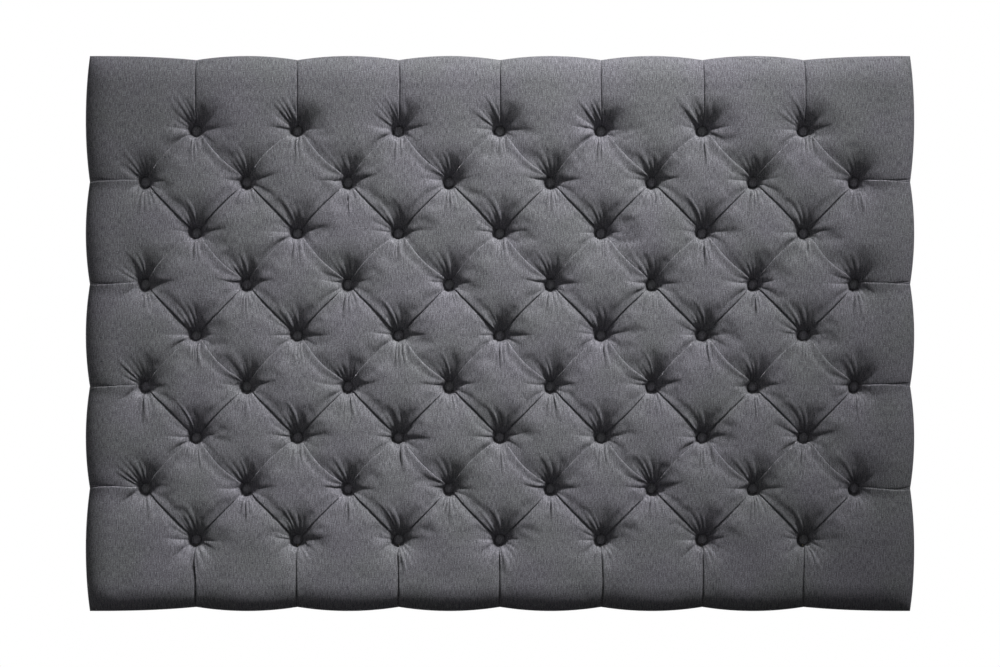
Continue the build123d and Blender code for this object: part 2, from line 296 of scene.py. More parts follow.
def lay_sheet(across: np.ndarray, depth: np.ndarray, up: np.ndarray) -> bmesh.types.BMesh:
    """Makes a sheet in the plane of the panel.

    Args:
        across: Its grid lines' places along X.
        depth: The place along Y of each point, in rows and columns.
        up: Its grid lines' places along Z.

    Returns:
        The sheet.
    """
    sheet = flat_grid(len(across), len(up))
    for vert in sheet.verts:
        column = round((vert.co.x + 0.5) * (len(across) - 1))
        row = round((vert.co.y + 0.5) * (len(up) - 1))
        vert.co = (across[column], depth[row, column], up[row])
    return sheet


def set_in(
    part: bmesh.types.BMesh, place: tuple, turn: float = 0.0, lean: Matrix | None = None
) -> bmesh.types.BMesh:
    """Sets a part that is made along Z into the panel, along Y.

    Args:
        part: The part.
        place: Where its origin goes.
        turn: How far it is turned about its own axis first.
        lean: How it is turned at its place.

    Returns:
        The same part.
    """
    leaning = Matrix.Identity(4) if lean is None else lean
    matrix = Matrix.Translation(place) @ leaning @ STAND @ Matrix.Rotation(turn, 4, "Z")
    bmesh.ops.transform(part, matrix=matrix, verts=part.verts)
    return part


def join(parts: list[bmesh.types.BMesh]) -> bmesh.types.BMesh:
    """Joins parts in one bmesh and frees them.

    Args:
        parts: The parts.

    Returns:
        All of them together.
    """
    whole = bmesh.new()
    for part in parts:
        single = as_mesh("part", part)
        whole.from_mesh(single)
        bpy.data.meshes.remove(single)
    return whole


def declare(
    name: str, mesh: bpy.types.Mesh, material: bpy.types.Material, slot: str, *nodes: str
) -> bpy.types.Object:
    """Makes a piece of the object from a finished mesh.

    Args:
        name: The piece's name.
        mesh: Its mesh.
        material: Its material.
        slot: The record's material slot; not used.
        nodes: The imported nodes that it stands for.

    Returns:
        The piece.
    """
    mesh.materials.append(material)
    piece = add_object(name, mesh)
    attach(piece, "root")
    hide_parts(*nodes)
    return piece


def add_piece(
    name: str,
    parts: list[bmesh.types.BMesh],
    material: bpy.types.Material,
    slot: str,
    *nodes: str,
    sharp: float = 180.0,
) -> bpy.types.Object:
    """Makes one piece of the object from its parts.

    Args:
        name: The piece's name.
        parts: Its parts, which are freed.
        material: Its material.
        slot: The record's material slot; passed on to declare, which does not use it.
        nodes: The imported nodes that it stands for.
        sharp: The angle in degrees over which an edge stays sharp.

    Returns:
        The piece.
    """
    whole = join(parts)
    bmesh.ops.recalc_face_normals(whole, faces=whole.faces)
    for face in whole.faces:
        face.smooth = True
    mesh = as_mesh(name, whole)
    mesh.set_sharp_from_angle(angle=math.radians(sharp))
    return declare(name, mesh, material, slot, *nodes)


@dataclass(frozen=True)
class Finish:
    """A stock material: two colours mixed by a stretched noise, with a fine bump."""

    name: str
    dark: str
    light: str
    grain: tuple[float, float, float]
    roughness: float = 0.6
    metallic: float = 0.0
    bump_height: float = 0.1 * MM
    roughness_spread: float = 0.06

    def pattern(self, tree: bpy.types.NodeTree, place: bpy.types.NodeSocket) -> bpy.types.NodeSocket:
        """Adds the pattern that mixes the colours.

        Args:
            tree: The material's node tree.
            place: A place in metres.

        Returns:
            The pattern, from nought to one.
        """
        scale = {"Scale": tuple(1 / size for size in self.grain)}
        stretched = add_node(tree, "ShaderNodeMapping", scale, {"Vector": place}).outputs["Vector"]
        noise = {"Scale": 1.0, "Detail": 5.0, "Roughness": 0.6, "Distortion": 0.2}
        return add_node(tree, "ShaderNodeTexNoise", noise, {"Vector": stretched}).outputs["Fac"]

    def material(self) -> bpy.types.Material:
        """Builds the material.

        Returns:
            The material, whose pattern reads Object coordinates.
        """
        made = bpy.data.materials.new(self.name)
        tree = clear_tree(made)
        place = add_node(tree, "ShaderNodeTexCoord").outputs["Object"]
        pattern = self.pattern(tree, place)
        span = {"From Min": 0.35, "From Max": 0.65}
        share = add_node(tree, "ShaderNodeMapRange", span, {"Value": pattern}).outputs["Result"]
        ends = {COLOUR_A: linear(self.dark), COLOUR_B: linear(self.light)}
        mixed = add_node(tree, "ShaderNodeMix", ends, {"Factor": share}, data_type="RGBA")
        lowest, highest = self.roughness - self.roughness_spread, self.roughness + self.roughness_spread
        span = {"To Min": lowest, "To Max": min(highest, 1.0)}
        rough = add_node(tree, "ShaderNodeMapRange", span, {"Value": share}).outputs["Result"]
        height = {"Strength": 0.5, "Distance": self.bump_height}
        bump = add_node(tree, "ShaderNodeBump", height, {"Height": pattern}).outputs["Normal"]
        links = {"Base Color": mixed.outputs[COLOUR_RESULT], "Roughness": rough, "Normal": bump}
        shader = add_node(tree, "ShaderNodeBsdfPrincipled", {"Metallic": self.metallic}, links)
        add_node(tree, "ShaderNodeOutputMaterial", links={"Surface": shader.outputs["BSDF"]})
        return made


@dataclass(frozen=True)
class Timber(Finish):
    """Wood, whose growth rings run along its grain."""

    ring: float = 5 * MM

    def pattern(self, tree: bpy.types.NodeTree, place: bpy.types.NodeSocket) -> bpy.types.NodeSocket:
        """Adds fibres mixed with the bands of the growth rings.

        Args:
            tree: The material's node tree.
            place: A place in metres.

        Returns:
            The pattern, from nought to one.
        """
        fibres = super().pattern(tree, place)
        scale = {"Scale": tuple(min(1 / size, 1 / self.ring) for size in self.grain)}
        stretched = add_node(tree, "ShaderNodeMapping", scale, {"Vector": place}).outputs["Vector"]
        bands = {"Scale": 0.3, "Distortion": 3.0, "Detail": 2.0, "Detail Scale": 0.6}
        rings = add_node(tree, "ShaderNodeTexWave", bands, {"Vector": stretched}, bands_direction="DIAGONAL")
        mixed = {"A": fibres, "B": rings.outputs["Fac"]}
        return add_node(tree, "ShaderNodeMix", {"Factor": 0.35}, mixed).outputs["Result"]


@dataclass(frozen=True)
class Spunbond(Finish):
    """Nonwoven lining cloth, bonded at small sunken dots."""

    dot_pitch: float = 1.6 * MM

    def pattern(self, tree: bpy.types.NodeTree, place: bpy.types.NodeSocket) -> bpy.types.NodeSocket:
        """Adds the cloudy fibres mixed with the bond dots.

        Args:
            tree: The material's node tree.
            place: A place in metres.

        Returns:
            The pattern, from nought to one.
        """
        fibres = super().pattern(tree, place)
        cells = {"Scale": 1 / self.dot_pitch, "Randomness": 0.25}
        dots = add_node(tree, "ShaderNodeTexVoronoi", cells, {"Vector": place}).outputs["Distance"]
        return add_node(tree, "ShaderNodeMix", {"Factor": 0.4}, {"A": fibres, "B": dots}).outputs["Result"]


# Planed pine is pale, with fine fibres and soft bands along its length, and hardly any gloss.
PINE_LEVEL = Timber("pine_level", "B08A58", "D9B988", (120 * MM, 2 * MM, 2 * MM), 0.62)
PINE_UPRIGHT = Timber("pine_upright", "B08A58", "D9B988", (2 * MM, 2 * MM, 120 * MM), 0.62)
# Sanded poplar plywood is a little browner and duller, and its face grain stands upright.
PLYWOOD = Timber("plywood", "B69468", "D6BA8E", (2.5 * MM, 2.5 * MM, 90 * MM), 0.66)
# Cut polyurethane foam shows its open cells as fine speckles and is quite matt.
FOAM = Finish("foam", "CFC49C", "E6DDB8", (1.2 * MM, 1.2 * MM, 1.2 * MM), 0.9, bump_height=0.5 * MM)
# Waxed linen twine has short fibres along it and a faint wax gloss.
TWINE = Finish("twine", "A3957A", "C9BC9F", (0.5 * MM, 0.5 * MM, 2 * MM), 0.7, bump_height=0.2 * MM)
# Spunbonded polypropylene is near black and cloudy, with a close pattern of dots.
LINING = Spunbond("lining", "121213", "252528", (3 * MM, 3 * MM, 7 * MM), 0.82, bump_height=0.25 * MM)
# Galvanised drawn wire is grey and slightly rough, with fine mottling.
STAPLE_WIRE = Finish("staple_wire", "8F9092", "B9BABC", (0.4 * MM, 0.4 * MM, 0.4 * MM), 0.4, 1.0, 0.02 * MM)
# Bright zinc plate is a bluish grey with broad, faint clouds and a fair gloss.
ZINC = Finish("zinc", "9A9CA3", "C6C8CC", (9 * MM, 9 * MM, 9 * MM), 0.34, 1.0, 0.02 * MM)


@dataclass(frozen=True)
class Chenille:
    """Charcoal chenille: a woven pile cloth, which gives fine upright streaks and a soft sheen.

    Its pile yarns are about a millimetre wide, too fine for the render, so the streaks and the grain
    are drawn about twice as coarse.
    """

    name: str = "chenille"
    dark: str = "414145"
    light: str = "7C7B80"
    fleck: str = "A6A5AA"
    warm_nap: str = "F6F9F5"
    cool_nap: str = "FDFCFF"
    sheen_tint: str = "C8C8D0"
    streak_width: float = 2.3 * MM
    streak_length: float = 14 * MM
    grain: float = 2.5 * MM
    patch: float = 140 * MM
    bump_height: float = 0.5 * MM
    roughness: float = 1.0
    sheen: float = 0.5
    sheen_roughness: float = 0.25
    uv_map: str = "cloth"

    def colour(
        self, tree: bpy.types.NodeTree, weave: bpy.types.NodeSocket, grain: bpy.types.NodeSocket
    ) -> bpy.types.NodeSocket:
        """Adds the cloth's colour: two yarns, light flecks, and patches where the nap lies another way.

        Args:
            tree: The material's node tree.
            weave: The pattern of the yarns.
            grain: The pattern of the pile.

        Returns:
            The colour.
        """
        cloth = add_node(tree, "ShaderNodeUVMap", uv_map=self.uv_map).outputs["UV"]
        broad = {"Scale": 1 / self.patch, "Detail": 2.0}
        patches = add_node(tree, "ShaderNodeTexNoise", broad, {"Vector": cloth}).outputs["Fac"]
        spans = (
            (weave, {"From Min": 0.36, "From Max": 0.64}),
            (grain, {"From Min": 0.6, "From Max": 0.74, "To Max": 0.5}),
            (patches, {"From Min": 0.35, "From Max": 0.65}),
        )
        shade, lifted, nap = (
            add_node(tree, "ShaderNodeMapRange", span, {"Value": source}).outputs["Result"]
            for source, span in spans
        )
        yarns = {COLOUR_A: linear(self.dark), COLOUR_B: linear(self.light)}
        yarn = add_node(tree, "ShaderNodeMix", yarns, {"Factor": shade}, data_type="RGBA")
        fleck = {COLOUR_B: linear(self.fleck)}
        links = {"Factor": lifted, COLOUR_A: yarn.outputs[COLOUR_RESULT]}
        flecked = add_node(tree, "ShaderNodeMix", fleck, links, data_type="RGBA")
        naps = {COLOUR_A: linear(self.warm_nap), COLOUR_B: linear(self.cool_nap)}
        cast = add_node(tree, "ShaderNodeMix", naps, {"Factor": nap}, data_type="RGBA")
        links = {COLOUR_A: flecked.outputs[COLOUR_RESULT], COLOUR_B: cast.outputs[COLOUR_RESULT]}
        tinted = add_node(
            tree, "ShaderNodeMix", {"Factor": 1.0}, links, data_type="RGBA", blend_type="MULTIPLY"
        )
        return tinted.outputs[COLOUR_RESULT]

    def material(self) -> bpy.types.Material:
        """Builds the material.

        Returns:
            The material, whose patterns read the cloth's own map.
        """
        made = bpy.data.materials.new(self.name)
        tree = clear_tree(made)
        cloth = add_node(tree, "ShaderNodeUVMap", uv_map=self.uv_map).outputs["UV"]
        scale = {"Scale": (1 / self.streak_width, 1 / self.streak_length, 1)}
        drawn_out = add_node(tree, "ShaderNodeMapping", scale, {"Vector": cloth}).outputs["Vector"]
        noise = {"Scale": 1.0, "Detail": 3.0, "Roughness": 0.65}
        streaks = add_node(tree, "ShaderNodeTexNoise", noise, {"Vector": drawn_out}).outputs["Fac"]
        noise = {"Scale": 1 / self.grain, "Detail": 2.0, "Roughness": 0.7}
        grain = add_node(tree, "ShaderNodeTexNoise", noise, {"Vector": cloth}).outputs["Fac"]
        mixed = {"A": streaks, "B": grain}
        weave = add_node(tree, "ShaderNodeMix", {"Factor": 0.45}, mixed).outputs["Result"]
        height = {"Strength": 0.6, "Distance": self.bump_height}
        bump = add_node(tree, "ShaderNodeBump", height, {"Height": weave}).outputs["Normal"]
        surface = {
            "Roughness": self.roughness,
            "Specular IOR Level": 0.1,
            "Sheen Weight": self.sheen,
            "Sheen Roughness": self.sheen_roughness,
            "Sheen Tint": linear(self.sheen_tint),
        }
        links = {"Base Color": self.colour(tree, weave, grain), "Normal": bump}
        shader = add_node(tree, "ShaderNodeBsdfPrincipled", surface, links)
        add_node(tree, "ShaderNodeOutputMaterial", links={"Surface": shader.outputs["BSDF"]})
        return made


@dataclass(frozen=True)
class Panel:
    """The panel's sizes, read from its packed construction."""

    edge_across: float
    edge_up: float
    middle_up: float
    crown: float
    hem_level: float
    seat: float
    half_pitch: float
    row_rise: float
    tufts_up: float
    lobe: float = 9 * MM
    roll_drop: float = 44 * MM
    long_row_buttons: int = 8
    long_rows: int = 4

    @classmethod
    def from_frame(cls) -> "Panel":
        """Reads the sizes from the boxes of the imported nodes.

        Returns:
            The panel.
        """
        low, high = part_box("tufted_cover")
        first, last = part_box("button_twines")
        twine = 2 * MM
        middle_up = (low.z + high.z) / 2
        return cls(
            edge_across=(high.x - low.x) / 2 - cls.lobe,
            edge_up=(high.z - low.z) / 2 - cls.lobe,
            middle_up=middle_up,
            crown=-low.y,
            hem_level=-high.y,
            seat=-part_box("buttons")[1].y,
            half_pitch=(last.x - first.x - twine) / 2 / (cls.long_row_buttons - 1),
            row_rise=(last.z - first.z - twine) / 2 / cls.long_rows,
            tufts_up=(first.z + last.z) / 2 - middle_up,
        )

    @property
    def side_level(self) -> float:
        """The level at which the rolled front meets the sides."""
        return self.crown - self.roll_drop

    @property
    def last_column(self) -> int:
        """The column of the outermost buttons to the right."""
        return self.long_row_buttons - 1

    def is_button(self, column: int, row: int) -> bool:
        """Says whether a place on the grid of half pitches and rows holds a button."""
        return (column + row) % 2 == 0 and abs(column) <= self.last_column and abs(row) <= self.long_rows

    def buttons(self) -> list[tuple[int, int]]:
        """Lists the buttons' places.

        Returns:
            The column and the row of each on the grid.
        """
        columns = range(-self.last_column, self.last_column + 1)
        rows = range(-self.long_rows, self.long_rows + 1)
        return [(column, row) for row in rows for column in columns if self.is_button(column, row)]

    def spot(self, column: float, row: float) -> np.ndarray:
        """Gives a grid place as across and up."""
        return np.array([column * self.half_pitch, self.tufts_up + row * self.row_rise])


class PleatKind(Enum):
    """Which way a pleat runs."""

    DIAGONAL = "diagonal"
    UPRIGHT = "upright"
    LEVEL = "level"


@dataclass(frozen=True)
class Pleat:
    """One fold of the cloth between two buttons, or from a button to the panel's edge.

    The lip, which lies over the other side, is on the left of the way from start to end.
    """

    start: np.ndarray
    end: np.ndarray
    kind: PleatKind
    depth: float
    bow: float
    gap: float
    lip: float


@dataclass(frozen=True)
class FoldProfile:
    """A cut across a pleat, from the cloth under the lip to the pillow that the lip belongs to.

    At each station, in millimetres, the cloth is slid sideways, sinks into the gap and rises in the lip.
    """

    stations: tuple = (-18, -12, -7.5, -4.5, -3, -1.5, 0, 1.5, 3, 4.5, 6, 9, 12, 18)
    slides: tuple = (0, 0.1, 0.3, 0.8, 1.1, 1.0, 0.3, -1.5, -2.7, -3.0, -2.6, -1.5, -0.7, 0)
    gap: tuple = (0, -0.2, -0.4, -0.7, -1.1, -2.8, -4.0, -2.2, -0.5, 0, 0, 0, 0, 0)
    lip: tuple = (0, 0, 0, 0, 0, 0, 0, 0.4, 0.9, 1.3, 1.2, 0.8, 0.4, 0)

    def at(self, side: np.ndarray) -> list[np.ndarray]:
        """Gives the slide, the gap's level and the lip's level at distances to one side of the pleat."""
        rows = (self.slides, self.gap, self.lip)
        return [np.interp(side / MM, self.stations, row) * MM for row in rows]


@dataclass(frozen=True)
class Dimple:
    """The funnel at a button: a narrow throat in a wide bowl, deeper in a direction across and up."""

    direction: tuple = (0.48, 0.88)
    floor_radius: float = 10 * MM
    floor_lean: float = 5.5 * MM
    throat: float = 31 * MM
    throat_width: float = 7.4 * MM
    throat_lean: float = 3.2 * MM
    bowl: float = 20.5 * MM
    bowl_lean: float = 6.5 * MM
    bowl_reach: float = 98 * MM
    bowl_power: float = 2.2

    def depth(self, x: np.ndarray, z: np.ndarray) -> np.ndarray:
        """Works out how deep the cloth lies.

        Args:
            x: Distances across from the button.
            z: Distances up from it.

        Returns:
            The depths.
        """
        across, up = self.direction
        distance = np.hypot(x, z)
        above = (up * z + across * x) / np.maximum(distance, self.floor_radius)
        beyond = np.maximum(distance - self.floor_radius - self.floor_lean * np.maximum(-above, 0), 0)
        bowl = self.bowl + self.bowl_lean * above
        throat = self.throat + self.bowl - bowl
        wide = np.clip(1 - beyond / self.bowl_reach, 0, 1) ** self.bowl_power
        return bowl * wide + throat * np.exp(-beyond / (self.throat_width + self.throat_lean * above))


@dataclass(frozen=True)
class Fan:
    """The folds gathered round a button.

    Furrows are in degrees, counted from across towards up, and each fold lies between its furrow and
    the next one. Heights and lengths are in millimetres. The folds rise over a run that begins just
    inside the button's rim, and those that face the panel's edge are a little higher.
    """

    furrows: tuple = (5, 32, 56, 74, 90, 106, 121, 136, 154, 176, 208, 240, 256, 270, 282, 296, 316, 338)
    heights: tuple = (
        8.0, 4.5, 5.0, 6.5, 7.0, 7.0, 6.5, 5.5, 6.5, 10.5, 4.5, 7.5, 10.5, 12.5, 12.0, 8.5, 4.5, 6.5
    )
    lengths: tuple = (72, 58, 64, 74, 80, 80, 76, 70, 64, 66, 58, 58, 62, 66, 64, 60, 50, 58)
    jitter: float = 5.0
    height_spread: tuple = (0.35, 1.45)
    length_spread: tuple = (0.75, 1.25)
    edge_factor: float = 1.1
    edge_share: float = 0.3
    reach: float = 105 * MM
    begins: float = 9 * MM
    run: float = 13 * MM
    fade_power: float = 1.2
    round_power: float = 0.65
    bend: float = 0.55
    lean: float = 0.5


@dataclass
class TuftedCloth:
    """The tufted front as a sheet: a level and a sideways shift for each point of a grid.

    A fold is given as the sizes of its gap and its lip, in shares of the profile's. The diagonals that
    face down come before those that face up, and a level pleat has two folds.
    """

    panel: Panel
    across: np.ndarray
    up: np.ndarray
    fold: FoldProfile = FoldProfile()
    dimple: Dimple = Dimple()
    fan: Fan = Fan()
    crease_depth: float = 5 * MM
    crease_spread: tuple = (0.85, 1.15)
    crease_reach: float = 60 * MM
    crease_power: float = 1.9
    diagonal_folds: tuple = ((1.0, 0.9), (0.35, 2.4))
    gap_spread: tuple = (0.85, 1.1)
    lip_spread: tuple = (0.85, 1.15)
    edge_pleat_depth: float = 5 * MM
    edge_pleat_spread: tuple = (0.8, 1.1)
    edge_pleat_end: float = 1.1
    upright_fold: tuple = (1.7, 1.0)
    level_folds: tuple = ((1.3, 1.6), (1.2, 0.9))
    tuck: float = 11 * MM
    bow: float = 1.2 * MM
    facing_bow: float = 6.5 * MM
    edge_bow: float = 1.5 * MM
    bow_width: float = 26 * MM
    end_run: float = 16 * MM
    blend: float = 3.0
    skin: float = 1.5 * MM
    roll_reach: float = 60 * MM
    lobe_start_across: float = 0.82
    lobe_start_up: float = 0.7
    corner_power: float = 2.5
    unevenness: tuple = ((90 * MM, 0.9 * MM), (40 * MM, 0.35 * MM))
    seed: int = 11
    draws: np.random.Generator = field(init=False)

    def __post_init__(self) -> None:
        """Makes the empty fields of the grid."""
        self.draws = np.random.default_rng(self.seed)
        self.grid_across, self.grid_up = np.meshgrid(self.across, self.up)
        self.valley = np.zeros_like(self.grid_across)
        self.rise = np.zeros_like(self.grid_across)
        self.shift_across = np.zeros_like(self.grid_across)
        self.shift_up = np.zeros_like(self.grid_across)

    def around(
        self, origin: np.ndarray, middle: np.ndarray, reach: float
    ) -> tuple[tuple[slice, slice], np.ndarray, np.ndarray]:
        """Picks the part of the grid within a reach of a point.

        Args:
            origin: Where distances are measured from.
            middle: The point.
            reach: The reach.

        Returns:
            The part's rows and columns, and how far its points lie across and up from the origin.
        """
        rows = np.searchsorted(self.up, [middle[1] - reach, middle[1] + reach])
        columns = np.searchsorted(self.across, [middle[0] - reach, middle[0] + reach])
        where = slice(*rows), slice(*columns)
        return where, self.grid_across[where] - origin[0], self.grid_up[where] - origin[1]

    def diagonal_pleats(self) -> list[Pleat]:
        """Lists the pleats between buttons.

        Returns:
            The pleats, in the order of the buttons that they run down from.
        """
        panel, draws, found = self.panel, self.draws, []
        for column, row in panel.buttons():
            faces_up = row % 2 == 0
            for side in (-1, 1):
                if not panel.is_button(column + side, row - 1):
                    continue
                places = [panel.spot(column, row), panel.spot(column + side, row - 1)]
                start, end = places[::-1] if (side > 0) == faces_up else places
                bow = draws.normal(0, self.bow)
                if faces_up:
                    bow += side * self.facing_bow
                depth = self.crease_depth * draws.uniform(*self.crease_spread)
                gap, lip = self.diagonal_folds[faces_up]
                gap *= draws.uniform(*self.gap_spread)
                lip *= draws.uniform(*self.lip_spread)
                found.append(Pleat(start, end, PleatKind.DIAGONAL, depth, bow, gap, lip))
        return found

    def edge_pleats(self) -> list[Pleat]:
        """Lists the pleats out to the edges.

        Returns:
            The upright ones at the top and the bottom, then the level ones at the sides.
        """
        panel, draws, found = self.panel, self.draws, []
        for row, side in ((panel.long_rows, 1), (-panel.long_rows, -1)):
            for column in range(1 - panel.last_column, panel.last_column, 2):
                start = panel.spot(column, row)
                end = np.array([start[0], side * panel.edge_up * self.edge_pleat_end])
                bow = draws.normal(0, self.edge_bow)
                depth = self.edge_pleat_depth * draws.uniform(*self.edge_pleat_spread)
                found.append(Pleat(start, end, PleatKind.UPRIGHT, depth, bow, *self.upright_fold))
        tucks = ((self.edge_pleat_depth, 0.0), (0.0, self.tuck))
        for column, side in ((panel.last_column, 1), (-panel.last_column, -1)):
            for row in range(1 - panel.long_rows, panel.long_rows, 2):
                start = panel.spot(column, row)
                bow = draws.normal(0, self.edge_bow)
                for (depth, rise), fold in zip(tucks, self.level_folds):
                    end = np.array([side * panel.edge_across * self.edge_pleat_end, start[1] + rise])
                    ends = (start, end) if side < 0 else (end, start)
                    found.append(Pleat(*ends, PleatKind.LEVEL, depth, bow, *fold))
        return found

    def lay_pleat(self, pleat: Pleat) -> None:
        """Draws the stuffing down along one pleat and folds the cloth over itself there.

        Args:
            pleat: The pleat.
        """
        way = pleat.end - pleat.start
        length = float(np.hypot(*way))
        ahead, left = way / length, np.array([-way[1], way[0]]) / length
        reach = self.crease_reach if pleat.kind is PleatKind.DIAGONAL else self.panel.half_pitch
        where, x, z = self.around(pleat.start, (pleat.start + pleat.end) / 2, length / 2 + reach)
        place = x * ahead[0] + z * ahead[1]
        side = x * left[0] + z * left[1]
        share = np.clip(place / length, 0, 1)
        distance = np.hypot(side, place - share * length)
        fall = np.clip(1 - distance / reach, 0, 1) ** self.crease_power
        self.valley[where] += (pleat.depth * fall) ** self.blend
        inside = ((place > 0) & (place < length)).astype(float)
        ends = swell(np.minimum(place, length - place) / self.end_run) * inside
        bow = pleat.bow * np.sin(np.pi * share) ** 2 * np.exp(-((side / self.bow_width) ** 2)) * inside
        slide, gap, lip = self.fold.at(side)
        slide = slide * pleat.lip * ends + bow
        self.rise[where] += (gap * pleat.gap + lip * pleat.lip) * ends
        self.shift_across[where] += slide * left[0]
        self.shift_up[where] += slide * left[1]

    def sink_button(self, place: np.ndarray) -> None:
        """Draws the stuffing down to one button."""
        where, x, z = self.around(place, place, self.dimple.floor_radius + self.dimple.bowl_reach)
        self.valley[where] += self.dimple.depth(x, z) ** self.blend

    def gather_round(self, column: int, row: int) -> None:
        """Gathers the cloth in folds round one button.

        Args:
            column: The button's column.
            row: Its row.
        """
        place, fan, draws = self.panel.spot(column, row), self.fan, self.draws
        where, x, z = self.around(place, place, fan.reach)
        distance = np.hypot(x, z)
        out = np.clip((distance - self.dimple.floor_radius) / fan.reach, 0, 1)
        lean = fan.lean * np.maximum(z, 0) * out
        turn = np.degrees(np.arctan2(z * (1 - fan.bend * out), x + lean)) % 360
        furrows = np.array(fan.furrows) + draws.uniform(-fan.jitter, fan.jitter, len(fan.furrows))
        heights = np.array(fan.heights) * draws.uniform(*fan.height_spread, len(furrows))
        lengths = np.array(fan.lengths) * draws.uniform(*fan.length_spread, len(furrows))
        faces_out = np.array([self.faces_edge(column, row, angle) for angle in fan.furrows])
        heights = np.where(faces_out, fan.edge_factor * heights, heights)
        ahead = (turn - furrows[0]) % 360
        marks = np.append(furrows - furrows[0], 360)
        fold = np.searchsorted(marks, ahead, side="right") - 1
        share = (ahead - marks[fold]) / (marks[fold + 1] - marks[fold])
        fade = np.clip(1 - distance / lengths[fold] / MM, 0, 1) ** fan.fade_power
        fade *= swell((distance - fan.begins) / fan.run)
        self.rise[where] += heights[fold] * MM * (4 * share * (1 - share)) ** fan.round_power * fade

    def faces_edge(self, column: int, row: int, angle: float) -> bool:
        """Says whether a fold runs from a button towards the panel's edge.

        Args:
            column: The button's column.
            row: Its row.
            angle: The fold's angle in degrees.

        Returns:
            Whether it does.
        """
        panel, turn, share = self.panel, math.radians(angle), self.fan.edge_share
        sideways = abs(column) == panel.last_column and column * math.cos(turn) > share * panel.last_column
        upwards = abs(row) == panel.long_rows and row * math.sin(turn) > share * panel.long_rows
        return sideways or upwards

    def lobes(self) -> tuple[np.ndarray, np.ndarray]:
        """Works out how far the outline swells beyond the notches.

        Returns:
            The swelling sideways at each place up, and upwards at each place across.
        """
        panel = self.panel
        notches = [panel.spot(0, row)[1] for row in range(1 - panel.long_rows, panel.long_rows, 2)]
        marks = np.array([-panel.edge_up, *notches, panel.edge_up])
        cell = np.clip(np.searchsorted(marks, self.up, side="right") - 1, 0, len(marks) - 2)
        share = (self.up - marks[cell]) / (marks[cell + 1] - marks[cell])
        sideways = panel.lobe * 4 * share * (1 - share)
        notch = (panel.last_column - 1) * panel.half_pitch
        away = np.abs(self.across)
        share = (self.across / (2 * panel.half_pitch)) % 1
        inner = 4 * share * (1 - share)
        outer = 1 - (1 - np.clip((away - notch) / (panel.edge_across - notch), 0, 1)) ** self.corner_power
        upward = panel.lobe * np.where(away < notch, inner, outer)
        return sideways, upward

    def shape(self) -> np.ndarray:
        """Works out where each point of the sheet lies.

        Returns:
            Across, up and level for each point, in an array of rows, columns and three.
        """
        panel = self.panel
        for pleat in self.diagonal_pleats() + self.edge_pleats():
            self.lay_pleat(pleat)
        for column, row in panel.buttons():
            self.sink_button(panel.spot(column, row))
            self.gather_round(column, row)
        deepest = panel.crown - panel.seat
        depth = np.minimum(np.cbrt(self.valley), deepest)
        calm = swell(1 - 2 * depth / deepest)
        level = panel.crown - self.skin - depth + self.rise
        for step, height in self.unevenness:
            level += calm * hills(self.draws, self.across, self.up, step, height)
        level = np.minimum(level, panel.crown)
        across_way = self.across, panel.edge_across, self.lobe_start_across
        up_way = self.up, panel.edge_up, self.lobe_start_up
        rolls, outward = [], []
        for place, edge, start in (across_way, up_way):
            share = np.clip((edge - np.abs(place)) / self.roll_reach, 0, 1)
            rolls.append(np.sqrt(1 - (1 - share) ** 2))
            outward.append(np.sign(place) * swell((np.abs(place) / edge - start) / (1 - start)))
        roll = rolls[1][:, None] * rolls[0]
        level = panel.side_level + (level - panel.side_level) * roll
        sideways, upward = self.lobes()
        across = self.grid_across + self.shift_across * roll + sideways[:, None] * outward[0]
        up = self.grid_up + self.shift_up * roll + upward * outward[1][:, None]
        return np.stack([across, up, level], axis=2)


